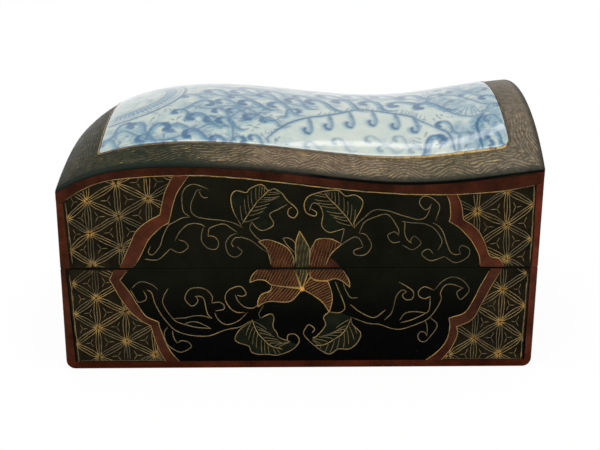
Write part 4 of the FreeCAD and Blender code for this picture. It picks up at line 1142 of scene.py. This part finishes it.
def leaf(wall, outline, rib, lean=42, veins=9, reach=9.5):
    """A dark leaf with a midrib and paired veins that lean towards its tip."""
    wall.patch("leaf", outline)
    rib = through(rib)
    wall.line(unsteady(rib), 0.7, 0.2)
    for share in np.linspace(0.06, 0.92, veins):
        root = int(share * (len(rib) - 2))
        heading = math.atan2(*(rib[root + 1] - rib[root])[::-1])
        for turn in (-1, 1):
            angle = heading + turn * math.radians(lean) * np.linspace(1.15, 0.75, VEIN_STEPS)
            vein = rib[root] + np.cumsum(directions(angle) * reach / VEIN_STEPS, axis=0)
            wall.line(vein, 0.48, 0.05, keep=within(outline, vein))


# %% [markdown]
# ### Bands, cartouche and corner panels
# A red-brown band follows the lid's wavy top edge, painted a darker red as shade under the rail, and a
# bracket-shaped band crosses lid and base on either side. The shapes outside it hold the lattice, and the
# space inside it holds the flower.

# %% Where the bands run
band_line = smooth_curve((-126.7, -116.5, -103.1, -86.5, -53.1, -14.6, 27.8, 63.6, 90.3, 112.2, 126.3),
                         (95.6, 102.8, 107.8, 109.9, 110.8, 107.5, 102.6, 100.3, 100.7, 102.9, 105.8))
BRACKETS = {
    ("lid", "left"): (bends([(-67.3, 111), (-72.4, 100.3), (-74.9, 89.3)],
                            [(-74.9, 89.3), (-83.6, 84.3), (-88.6, 79.3), (-91.6, 72.5), (-95.1, 65.2),
                             (-97.8, 59.4)]),
                      bends([(-58.9, 111), (-66.1, 100.3), (-69.7, 88), (-70.5, 84.8)],
                            [(-70.5, 84.8), (-75.2, 82), (-81.8, 75.3), (-85.9, 66.9), (-90.5, 59.4)])),
    ("base", "left"): (bends([(-101, 58.6), (-103.4, 53)],
                             [(-103.4, 53), (-98.5, 43), (-94, 35.5), (-88, 29.5), (-82.2, 25.9)],
                             [(-82.2, 25.9), (-79.2, 14.4), (-74.6, 4.4)]),
                       bends([(-93, 58.6), (-98.1, 52.5)],
                             [(-98.1, 52.5), (-92.6, 44.8), (-85.4, 32.2), (-77.9, 28.1)],
                             [(-77.9, 28.1), (-76.7, 22.8), (-72.8, 12), (-67.1, 4.4)])),
    ("lid", "right"): (bends([(83.1, 100.8), (85.9, 95), (87.6, 86.2)],
                             [(87.6, 86.2), (94.3, 81.7), (99.4, 74.1), (102.8, 65.9), (107.9, 64),
                              (111.6, 59.4)]),
                       bends([(77.5, 100.8), (80, 95), (80.6, 88.1), (80, 85.5)],
                             [(80, 85.5), (85.5, 81.7), (91, 76.3), (94.9, 70.8), (97.3, 65.3), (98, 59.4)])),
    ("base", "right"): (bends([(110.3, 58.6), (104.5, 47.8), (99.5, 37), (95.3, 28.8), (86.8, 24.4)],
                              [(86.8, 24.4), (87.5, 20.1), (85.2, 13.3), (80.8, 6.6), (79, 4.4)]),
                        bends([(104, 58.6), (99.3, 49.4), (95.7, 40.8), (91, 32.9), (82.4, 29.6)],
                              [(82.4, 29.6), (83.2, 24.4), (81.5, 16.1), (76.6, 9.4), (70.6, 4.4)])),
}
POSTS = {("lid", "left"): [(-126, 96), (-125, 83), (-124, SEAM)],
         ("base", "left"): [(-126.1, SEAM), (-125, 32), (-123.8, EDGE_BAND)],
         ("lid", "right"): [(125.4, 106), (126.2, 85), (126.3, SEAM)],
         ("base", "right"): [(125.6, SEAM), (125.2, 30), (124.8, EDGE_BAND)]}
# for each lattice: one star, the step up, and the step over
NETS = {("lid", "left"): ((-112.3, 61.3), (-0.5, 17.8), (15.9, 9.6)),
        ("base", "left"): ((-111.3, 7.3), (0, 17.5), (15.5, 9.5)),
        ("lid", "right"): ((111.1, 83.2), (-0.9, 19.1), (15.6, 11.3)),
        ("base", "right"): ((111, 27.3), (0.1, 19), (14, 9.8))}
FOOT = 4.7
POST_INSET, NET_END = 1.1, 60
BAND_LOWEST, BAND_END = 95.6, 126
FOOT_LINE_FROM, FOOT_LINE_TO = 70, 123


def strip(x, low, high):
    """The outline of a strip between two edges."""
    return np.vstack([np.stack([x, low], -1), np.stack([x, high], -1)[::-1]])


def frame_wall(wall):
    """The bands and lattice of the front or back wall."""
    for side in ("left", "right"):
        outer, inner = BRACKETS[wall.body, side]
        wall.patch("red", np.vstack([outer, inner[::-1]]), 0.10)
        for edge in (outer, inner):
            wall.line(unsteady(edge, 0.1), 0.62, 0.3, 0.2)
        sign = 1 if side == "right" else -1
        post = through(POSTS[wall.body, side])
        wall.line(unsteady(post - (sign * POST_INSET, 0)), 0.55, 0.1)
        if wall.body == "lid":
            top_x = np.linspace(outer[0, 0], post[0, 0], 30)
            ceiling = np.stack([top_x, band_line(top_x)], -1)
            region = np.vstack([outer[::-1], ceiling, post])
        else:
            region = np.vstack([outer[::-1], post, [(post[-1, 0], FOOT), (outer[-1, 0], FOOT)]])
        left, right = sorted((post[:, 0].mean() - sign * POST_INSET, sign * NET_END))
        wall.patch("umber", region, 0.02)
        lattice(wall, region - (sign * 0.5, 0), *NETS[wall.body, side], left, right)
    if wall.body == "lid":
        x = np.linspace(CORNER - HALF_LENGTH, HALF_LENGTH - CORNER, 120)
        low_edge = np.maximum(band_line(x), BAND_LOWEST) + 0.8 * np.exp(-((x - 5) / 70) ** 2)
        # the top band is drawn in the darker red: painted shade cast by the rail above it
        wall.patch("red_in_painted_shade", strip(x, low_edge, edge_height(x) - 0.05), 0.12)
        x = x[np.abs(x) < BAND_END]
        wall.line(unsteady(np.stack([x, band_line(x) - 0.1], -1), 0.12), 0.6, 0.25, 0.16)
    else:
        x = np.linspace(-FOOT_LINE_TO, FOOT_LINE_TO, 160)
        foot_line = unsteady(np.stack([x, FOOT + 0.5 + 0 * x], -1), 0.1)
        wall.line(foot_line, 0.42, 0.0, 0.1, keep=np.abs(x) > FOOT_LINE_FROM)


# %% [markdown]
# ### The flower and its vines
# A lotus sits across the seam, with four leaves and scrolling vines. The lines are listed point by point, in
# millimetres along the wall and up from the table, and a smooth curve runs through each one's points.

# %% Vines on the lid
LID_VINES = [
    [(-59.5, 88.5), (-62.5, 91.5), (-63, 99.5), (-60.5, 104.5), (-56, 106), (-49, 103.5)],
    [(-31, 82), (-38, 85.5), (-50, 87), (-55, 88), (-58, 90.5), (-58.5, 94), (-57, 98.5), (-55, 102.5),
     (-52.5, 103)],
    [(-53.8, 102.3), (-52.9, 100.1), (-51.3, 98.8), (-49.2, 98.8)],
    [(-59, 88), (-63.5, 87.5), (-68, 85), (-71, 83), (-73.5, 78), (-75.5, 72), (-79.5, 67), (-82, 68.5),
     (-80.5, 72)],
    [(-51, 82.5), (-53.5, 84), (-57.5, 84.5), (-61, 83.5), (-64.5, 80), (-67.5, 75)],
    [(-84, 64.5), (-79.5, 64), (-75.5, 65), (-70, 70.5)],
    [(-70, 70.5), (-65, 68), (-60.5, 71), (-62, 74), (-65.5, 75.5)],
    [(-52, 82), (-53, 79), (-53, 74.5), (-50.5, 71), (-47.5, 70), (-45, 70.5), (-44, 73.5), (-45.5, 76.5),
     (-48, 77.5), (-49.5, 77)],
    [(-49.5, 77), (-49.5, 79), (-48.5, 82), (-43, 84), (-39.5, 83.5), (-34, 79.5)],
    [(-34, 79), (-37.5, 77.5), (-40, 74), (-40, 70), (-38, 66.5), (-35, 65.5), (-32.5, 67), (-31.5, 69),
     (-33, 70.5), (-34.5, 71.5)],
    [(-32, 76.5), (-35, 76.5), (-37, 73.5), (-36, 71)],
    [(-32.5, 77), (-27, 75), (-20.5, 70), (-17.5, 67.5), (-15, 62.5)],
    [(-26, 85.5), (-27, 81.5), (-24.5, 77.5), (-21.5, 75)],
    [(29, 81.5), (32, 85.5), (39, 91.5), (45.5, 91.5), (53.5, 89), (58.5, 87.5), (63.5, 86.5), (67.5, 88),
     (70, 95)],
    [(70, 95), (69, 93), (66.5, 92), (63.5, 95.5), (65, 99), (68.5, 99), (72.5, 96.5), (74.5, 93),
     (72.5, 85.5)],
    [(71, 84.5), (74, 83), (77, 79), (79, 73.5), (81, 68.5), (84, 66.5), (87, 67)],
    [(87, 67), (86, 69.5), (87.5, 71.5), (91.5, 69.5), (91, 65), (84.5, 62), (78, 65.5)],
    [(54.5, 85.5), (60.5, 84.5), (66.5, 84), (71, 82), (74.5, 78.5), (76.5, 74), (74.5, 69)],
    [(72, 67), (70, 69.5), (67.5, 69), (66, 66.5), (71, 63), (78, 65.5)],
    [(54.5, 85.5), (56, 84.5), (56, 79.5), (57.5, 75.5), (60, 73)],
    [(60, 73), (59.5, 74.5), (61.5, 77), (65, 73.5), (63, 70.5), (60, 69.5), (55, 72)],
    [(31.5, 79), (34.5, 85), (40.5, 88), (47, 89), (52.5, 81.5), (53, 77.5)],
    [(53, 77.5), (50.5, 79.5), (47, 77.5), (49.5, 73.5), (54, 74)],
    [(23.5, 81.5), (22, 73.5)],
    [(22, 72), (25, 74.5), (29, 76.5), (32, 75.5), (34, 71)],
    [(31.5, 79), (35.5, 77.5), (38.5, 72), (35.5, 67), (30, 66.5), (29, 69), (34, 71)],
]

# %% Vines on the base
BASE_VINES = [
    [(27.5, 38), (33, 33.5), (40.5, 30), (47, 34.5)],
    [(28, 30.5), (36.5, 27), (44, 26), (51, 23.5), (55.5, 23), (60.5, 24.5), (65.5, 26.5), (72, 30.5),
     (77.5, 40), (77, 44.5), (79, 48.5), (83, 49.5), (89.5, 47)],
    [(89.5, 47), (87.5, 46), (86, 44), (88.5, 40.5), (92.5, 45.5), (91, 49.5), (87.5, 52.5), (83, 53.5),
     (77.5, 51), (74, 46.5)],
    [(73.5, 46), (68, 48), (65, 45.5), (65.5, 42.5), (68.5, 41), (71.5, 42.5)],
    [(71.5, 42.5), (71, 34.5), (68.5, 32), (64.5, 30), (60, 28), (55.5, 27)],
    [(55, 28.5), (58, 32.5), (63.5, 33.5), (69.5, 32.5)],
    [(69, 28), (70.5, 25), (70.5, 19)],
    [(70.5, 19), (69.5, 21), (67, 21.5), (65.5, 19), (67, 16), (70.5, 16.5), (76, 25), (72, 30)],
    [(46.4, 28.5), (50.5, 33), (52.7, 42.5), (55.6, 46), (58.3, 45.4)],
    [(58.3, 45.4), (56.1, 43.3), (57.9, 40.6), (61.4, 41), (62.2, 44.8), (59, 47.9), (54.1, 50.9)],
    [(-92.5, 47), (-89, 40.5), (-86.5, 40), (-84, 42), (-85.5, 46.5)],
    [(-91.5, 48), (-89, 50.5), (-85.5, 51.5), (-81, 50), (-77.5, 47)],
    [(-83.5, 47), (-81, 45), (-79.5, 39.5), (-77, 33.5), (-73, 27.5), (-68.5, 23), (-62, 20.5),
     (-55.5, 19.5), (-49, 20), (-42, 23), (-33, 25), (-27.5, 28.5)],
    [(-72, 47.5), (-74.5, 43), (-75, 38.5), (-70, 30), (-65, 27), (-58, 25), (-49, 24)],
    [(-63.5, 27), (-59.5, 28), (-55.5, 27.5), (-49, 24)],
    [(-69.5, 30), (-63.5, 30.5), (-58, 31.5), (-53.5, 31.5), (-48.5, 30)],
    [(-48.5, 30), (-51, 33), (-52.5, 41), (-54.5, 43), (-57.5, 43)],
    [(-57.5, 43), (-56, 41), (-57, 38.5), (-60, 37.5), (-63, 42), (-60.5, 47), (-55, 48), (-51, 46.5),
     (-48, 43), (-48.5, 39)],
    [(-48.5, 39), (-44.5, 39.5), (-42, 38), (-42, 35.5), (-46.5, 34.5)],
    [(-47, 33.5), (-45.5, 30), (-42.5, 27), (-38.5, 26.5), (-34, 28.5), (-29, 33.5)],
    [(-30.5, 33.5), (-34.5, 33.5), (-38.5, 36), (-41, 41.5), (-40, 45.5), (-36.5, 48), (-32.5, 48.5),
     (-29.5, 44.5), (-31.5, 43), (-34.5, 43.5)],
    [(-35.5, 44), (-34, 40), (-30, 36.5), (-26, 36), (-23, 38)],
    [(-73, 25), (-75, 21.5), (-74, 16), (-70.5, 12), (-66, 10), (-60.5, 13), (-62, 16), (-65.5, 17),
     (-68, 15.5)],
    [(-70.5, 23), (-70, 19), (-68, 15.5)],
    [(16, 33.5), (21, 33), (24, 34.5), (24.5, 37), (22.5, 42.5), (20, 49), (19, 51.5)],
    [(23.5, 50.5), (25, 46), (27.5, 42), (31.5, 42)],
    [(-20, 38), (-22.5, 33), (-22, 30)],
]


# %% Flower and leaves
def curled_leaf(wall, edge, back, curl, rib, edge_gold, back_gold, *closing):
    """A leaf between its edge and its back. The edge's line runs on into a small curl."""
    leaf(wall, bends(edge, back, *closing), rib)
    wall.line(through([*edge, *curl]), 0.6, edge_gold)
    wall.line(through(back), 0.6, back_gold)


def draw_lid_flower(wall):
    """The upper half: two leaves, two petals and the pointed leaf in the middle."""
    for vine in LID_VINES:
        wall.line(unsteady(through(vine, 5), 0.12), 0.54, HAND.uniform(0, 0.07))
    edge = [(-31.5, 83), (-35.5, 90.5), (-37, 96.5), (-36.5, 100.5), (-34, 102.5), (-29, 101.5), (-27, 103.5),
            (-23, 105.5), (-20, 105.5), (-17, 102.5), (-14, 103.5), (-10, 101), (-7, 97), (-3, 93.5)]
    back = [(-7, 95), (-11.5, 92.5), (-16.5, 89.5), (-14.5, 85), (-15.5, 82.5), (-20.5, 80.5), (-24, 82.5),
            (-26, 85.5)]
    curled_leaf(wall, edge, back, [(-1.5, 90.5), (-3.5, 87.5), (-6.5, 89), (-6.5, 92), (-4.5, 93.5)],
                [(-31.3, 84.2), (-27, 91), (-22.9, 96.6), (-19.5, 100), (-16.6, 103)], 0.2, 0.1)
    edge = [(29, 81.5), (29, 85.5), (32.5, 92.5), (33, 97), (29, 100), (24, 99.5), (20, 102.5), (15, 102.5),
            (10, 101.5), (4.5, 99.5), (2, 95.5)]
    back = [(4.5, 91.5), (6.5, 95.5), (10, 94.5), (12, 89.5), (11.5, 83), (15, 79.5), (19, 80), (23.5, 81.5)]
    curled_leaf(wall, edge, back, [(3, 90.5), (7.5, 88.5), (8.5, 90.5), (5.5, 92.5)],
                [(28.5, 82.2), (24.9, 87.5), (19.6, 93.6), (15.1, 98.3), (13, 101.4)], 0.2, 0.1)
    hatched(wall, "petal", bends([(-15.5, 59), (-18, 69.5), (-22.5, 74.3)],
                                 [(-22.5, 74.3), (-18, 75.3), (-12, 73.5), (-7, 70.5), (-3.8, 65),
                                  (-3.6, 59)]), 78)
    hatched(wall, "petal", bends([(5, 59), (5.3, 68), (7, 72.5), (9.5, 75.5), (16.5, 75.5), (22.3, 72.7)],
                                 [(22.3, 72.7), (16.5, 67), (13, 59)]), 82)
    wall.patch("red", bends([(13.2, 59), (16, 64.3), (18.5, 63.3), (22, 59)]))
    hatched(wall, "olive", bends([(-2.4, 59), (-2.5, 73), (-0.5, 80)],
                                 [(-0.5, 80), (3, 74), (5, 69), (4.6, 59)]), 88, 1.9)
    wall.line(through([(-9.5, 76), (-6.5, 76.2), (-3, 73.5), (-2.4, 68)]), 0.5, 0.1)
    wall.line(through([(-9.5, 76), (-6.8, 71.8), (-3, 68)]), 0.5, 0.1)


def draw_base_flower(wall):
    """The lower half: four petals that meet in a knot, two leaves, and the stalks."""
    for vine in BASE_VINES:
        wall.line(unsteady(through(vine, 5), 0.12), 0.56, HAND.uniform(0, 0.12))
    edge = [(-26.5, 28.5), (-33.5, 23), (-36, 18), (-34, 15.5), (-28.5, 13.5), (-27, 10), (-23, 8.5),
            (-17.5, 8.5), (-12.5, 8), (-5.5, 10.5), (-1.5, 14)]
    back = [(-5.5, 16), (-11.5, 18.5), (-13, 21.5), (-15, 25), (-14.5, 30.5), (-16.5, 32.5), (-22, 30)]
    curled_leaf(wall, edge, back, [(-0.5, 17.5), (-3, 20.5), (-6.5, 20), (-7, 17), (-5.5, 15.5)],
                [(-26.6, 29.2), (-24.6, 23.6), (-20.6, 17.9), (-15.9, 13.5), (-9.8, 11.3)], 0.1, 0.15)
    edge = [(28, 30.5), (29, 26), (33.5, 21), (32, 15.5), (27.5, 11.5), (21.5, 11.5), (16.5, 8.5),
            (12, 10.5), (6, 15.5)]
    back = [(7, 18.5), (9, 19), (14, 25.5), (13, 30.5), (16, 33.5)]
    curled_leaf(wall, edge, back, [(2, 20.5), (3, 24), (5, 26), (8, 23.5), (6.5, 21)],
                [(28, 30.1), (25.7, 23.6), (21.1, 18.6), (13.1, 14.2), (8.1, 13.6)], 0.1, 0.15,
                [(16, 33.5), (22, 33), (28, 30.5)])
    knot = (1, 47)
    hatched(wall, "petal", bends([(-22.5, 59), (-26.5, 54.5), (-27.5, 51)],
                                 [(-27.5, 51), (-23, 52.5), (-19, 52),
            (-15.5, 49.5), (-9, 48.5), (0, 48)], [(0, 48), (-1.5, 53), (-3.5, 59)]), 74, 1.5, 0.3)
    hatched(wall, "petal", bends([(-15.5, 49.5), (-16.5, 46), (-21, 44), (-23, 40.5), (-23.2, 36.8)],
                                 [(-23.2, 36.8),
            (-20, 39), (-16, 40), (-9.5, 39.5), (-4.5, 40.5), knot], [knot, (-9, 48.3), (-15.5, 49.5)]), 58,
            1.5, 0.4)
    hatched(wall, "petal", bends([(5.5, 59), (5.5, 54.2), (9, 52.2), (15, 52), (19, 53), (23, 51.5),
                                  (27, 48)],
            [(27, 48), (26.5, 52), (22.5, 59)]), 66, 1.5, 0.25)
    hatched(wall, "petal", bends([knot, (5.5, 53.8)], [(5.5, 53.8), (9, 51.8), (15, 51.5)],
                                 [(15, 51.5), (17, 45.5),
            (17.5, 40), (16, 33.5)], [(16, 33.5), (12.5, 39), (7, 43.5), knot]), 38, 1.5, 0.4)
    hatched(wall, "olive", bends([(-3.2, 59), knot], [knot, (5.2, 59)]), 90, 1.7, 0.7)
    for turn in np.radians(range(0, 360, 45)):
        ray = np.array(knot) + np.linspace(-0.2, 1.5, 4)[:, None] * (math.cos(turn), math.sin(turn))
        wall.line(ray, 0.8, 1.0, 0.3)


# %% Front and back
for side in ("front", "back"):
    for body, draw in (("lid", draw_lid_flower), ("base", draw_base_flower)):
        wall = Wall(side, body)
        frame_wall(wall)
        draw(wall)
        wall.place()

# %% [markdown]
# ### The ends
# The ends are plainer: the same red posts and foot, a red band under the arched edge, a gilt border
# line, and the flower again at two thirds of its size.

# %% Left and right ends
END_SCALE = 0.68
BORDER, BORDER_TOP = 79.3, 5
END_BAND, END_LINE = 4.6, 5.2
for side, x in (("left", -HALF_LENGTH), ("right", HALF_LENGTH)):
    y = np.linspace(CORNER - HALF_DEPTH, HALF_DEPTH - CORNER, 90)
    top_edge = lid_height(np.full_like(y, x), y) - RAIL_EDGE
    for body, draw, low, high in (("lid", draw_lid_flower, SEAM, top_edge[0] - BORDER_TOP),
                                  ("base", draw_base_flower, FOOT + 1, SEAM)):
        wall = Wall(side, body)
        for edge in (-BORDER, BORDER):
            wall.line(unsteady(np.stack([np.full(30, edge), np.linspace(low, high, 30)], -1)), 0.5)
        if body == "lid":
            wall.patch("red", strip(y, top_edge - END_BAND, top_edge - 0.05), 0.12)
            wall.line(np.stack([y, top_edge - END_LINE], -1), 0.6, 0.2, 0.16, keep=np.abs(y) < BORDER)
        else:
            wall.line(unsteady(np.stack([y, FOOT + 0.6 + 0 * y], -1), 0.1), 0.5, keep=np.abs(y) < BORDER)
        wall.scale = END_SCALE
        draw(wall)
        wall.place()

# %% [markdown]
# ## Inside the box
# The lining and bearers are red lacquer. The tray is dark lacquer with a dusting of gold. The writing
# things keep their solid shapes and get the look of slate, ink, bamboo, horn and glazed ware.

# %% Lining, tray and bedding
lining, tree, shader = new_finish("lining_lacquer", 0.34, 0.3)
streak = noise(tree, 7, 5, 0.6, (0.25, 0.25, 1.6))
colour = ramp(tree, streak, (0.3, (0.105, 0.014, 0.008)), (0.55, (0.185, 0.026, 0.013)),
              (0.8, (0.25, 0.048, 0.024)))
scuff = ramp(tree, noise(tree, 2.2, 6, 0.75), (0.62, 0.0), (0.7, 0.8))
coat(tree, shader, blend(tree, scuff, colour, (0.035, 0.012, 0.008)), streak, 0.12, 0.5)
dress(lining, "lining_", "tray_bearer")

tray_lacquer, tree, shader = new_finish("tray_lacquer", 0.28, 0.35)
ground = ramp(tree, noise(tree, 20, 4), (0.35, (0.010, 0.006, 0.004)), (0.7, (0.026, 0.013, 0.008)))
dust = ramp(tree, noise(tree, 0.55, 1), (0.66, 0.0), (0.72, 0.75))
wear = ramp(tree, noise(tree, 6, 7, 0.8), (0.60, 0.0), (0.68, 0.7))
colour = blend(tree, wear, blend(tree, dust, ground, (0.42, 0.27, 0.09)), (0.075, 0.028, 0.014))
coat(tree, shader, colour, noise(tree, 2.4, 4), 0.08, 0.5)
dress(tray_lacquer, "tray_front", "tray_back", "tray_left", "tray_right", "tray_floor", "tray_divider")

bedding, tree, shader = new_finish("bedding", 0.8, 0.2)
colour = ramp(tree, noise(tree, 4, 5), (0.3, (0.12, 0.09, 0.05)), (0.7, (0.24, 0.19, 0.12)))
coat(tree, shader, colour, noise(tree, 1.5, 5), 0.3)
dress(bedding, "porcelain_bed")

# %% Inkstone and ink stick
WELL_TOP = 51.2
SCALE_SIZE = 2.6
slate, tree, shader = new_finish("slate", 0.55, 0.4)
stone = ramp(tree, noise(tree, 12, 7, 0.65, (1, 1, 3)), (0.3, (0.026, 0.028, 0.033)),
             (0.6, (0.052, 0.054, 0.060)), (0.8, (0.085, 0.080, 0.074)))
sunk = sum_up(tree, "SUBTRACT", 1.0, beyond(tree, axes(tree)["Z"], WELL_TOP, 1.2))
stained = times(tree, sunk, ramp(tree, noise(tree, 15, 4), (0.3, 0.55), (0.6, 0.95)))
coat(tree, shader, blend(tree, stained, stone, (0.006, 0.006, 0.008)), noise(tree, 0.9, 6, 0.7), 0.08, 0.7,
     ramp(tree, stained, (0, 0.6), (1, 0.3)))
dress(slate, "inkstone")

ink, tree, shader = new_finish("ink", 0.42, 0.45)
scales = add_node(tree, "TexVoronoi", {"Scale": 1 / (SCALE_SIZE * MM), "Vector": place_on_object(tree)},
                  feature="DISTANCE_TO_EDGE")
ridge = ramp(tree, scales.outputs["Distance"], (0.02, 0.0), (0.16, 1.0))
ground = ramp(tree, noise(tree, 6, 5), (0.3, (0.004, 0.004, 0.005)), (0.7, (0.018, 0.017, 0.018)))
coat(tree, shader, blend(tree, ridge, (0.12, 0.075, 0.026), ground), ridge, 0.12, 0.8)
dress(ink, "ink_stick")

# %% Bamboo, horn and the water dropper
RING_PITCH = 7
bamboo, tree, shader = new_finish("bamboo", 0.36, 0.4)
fibre = noise(tree, 1.1, 4, 0.6, (0.03, 1, 1))
colour = ramp(tree, fibre, (0.3, (0.30, 0.165, 0.055)), (0.6, (0.47, 0.29, 0.115)), (0.8, (0.58, 0.39, 0.18)))
mottle = ramp(tree, noise(tree, 9, 5, 0.6, (0.4, 1, 1)), (0.56, 0.0), (0.66, 0.65))
coat(tree, shader, blend(tree, mottle, colour, (0.115, 0.045, 0.016)), fibre, 0.07, 0.6)
dress(bamboo, "brush_large_handle", "brush_small_handle")

horn, tree, shader = new_finish("horn", 0.22, 0.5)
streak = noise(tree, 2.5, 5, 0.6, (0.25, 1, 1))
colour = ramp(tree, streak, (0.3, (0.012, 0.008, 0.006)), (0.55, (0.055, 0.028, 0.014)),
              (0.75, (0.26, 0.15, 0.06)))
coat(tree, shader, colour, streak, 0.04, 0.5)
dress(horn, "brush_large_collar", "brush_small_collar")

dropper_glaze, tree, shader = new_finish("dropper_glaze", 0.1, 0.5)
ripple = sum_up(tree, "MULTIPLY_ADD", noise(tree, 5, 2), 3.4 * MM, axes(tree)["Z"])
rings = sum_up(tree, "ABSOLUTE", sum_up(tree, "SINE", times(tree, ripple, 2 * math.pi / (RING_PITCH * MM))))
stroke = ramp(tree, rings, (0.0, 1.0), (0.22, 0.75), (0.34, 0.0))
glaze = ramp(tree, noise(tree, 12, 3), (0.3, (0.52, 0.62, 0.62)), (0.7, (0.68, 0.74, 0.72)))
washed = ramp(tree, noise(tree, 3, 4), (0.35, (0.05, 0.10, 0.24)), (0.65, (0.16, 0.27, 0.44)))
coat(tree, shader, blend(tree, stroke, glaze, washed), noise(tree, 6, 3), 0.15, 0.4)
dress(dropper_glaze, "water_dropper")

# %% [markdown]
# ### Brush tips
# A brush tip is hundreds of hairs drawn to a point. Here it is a body of revolution whose radius is
# fluted all round, with the flutes twisting a little and the hairs ending at different lengths.

# %% Hair tips
hair, tree, shader = new_finish("hair", 0.6, 0.25)
strand = noise(tree, 0.7, 3, 0.6, (0.05, 1, 1))
colour = ramp(tree, strand, (0.3, (0.10, 0.055, 0.022)), (0.55, (0.30, 0.19, 0.09)),
              (0.8, (0.55, 0.42, 0.25)))
coat(tree, shader, colour, strand, 0.08)


def hair_tip(kind, start, length, collar, across, height, flutes):
    """One brush's hair: the body runs along X from its collar."""
    t = np.linspace(0, 1, 46)
    radii = (collar - 1.0, collar - 0.45, 0.62 * collar, 0.26 * collar, 0.08)
    profile = smooth_curve((0, 0.28, 0.62, 0.86, 1), radii)(t)
    angle = np.linspace(0, 2 * math.pi, 8 * flutes, endpoint=False)
    twist = angle[None, :] * flutes + 3.0 * t[:, None]
    lock = 0.075 * np.abs(np.sin(twist / 2)) + 0.03 * np.sin(angle * 3 + 5 * t[:, None])
    radius = profile[:, None] * (1 - lock * np.sqrt(np.maximum(t, 0.05))[:, None])
    ends = start + length * t[:, None] * (1 - 0.02 * np.abs(np.sin(angle * flutes / 4)))
    spots = np.stack([ends, across + radius * np.cos(angle), height + radius * np.sin(angle)], -1)
    around, rings = len(angle), len(t)
    faces = []
    for row in range(0, (rings - 1) * around, around):
        for k in range(around):
            beside = (k + 1) % around
            faces.append((row + beside, row + around + beside, row + around + k, row + k))
    faces += [list(reversed(range(around))), [(rings - 1) * around + k for k in range(around)]]
    make_piece(f"hair_{kind}", spots.reshape(-1, 3), faces, hair, f"brush_{kind}",
               (f"brush_{kind}_tip",))


TIPS = {"large": {"start": 69, "length": 32, "collar": 4.8, "across": 61, "height": 42.1, "flutes": 30},
        "small": {"start": 64, "length": 25, "collar": 3.8, "across": 46, "height": 41.1, "flutes": 24}}
for kind, tip in TIPS.items():
    hair_tip(kind, **tip)
print("hair tips:", *TIPS)
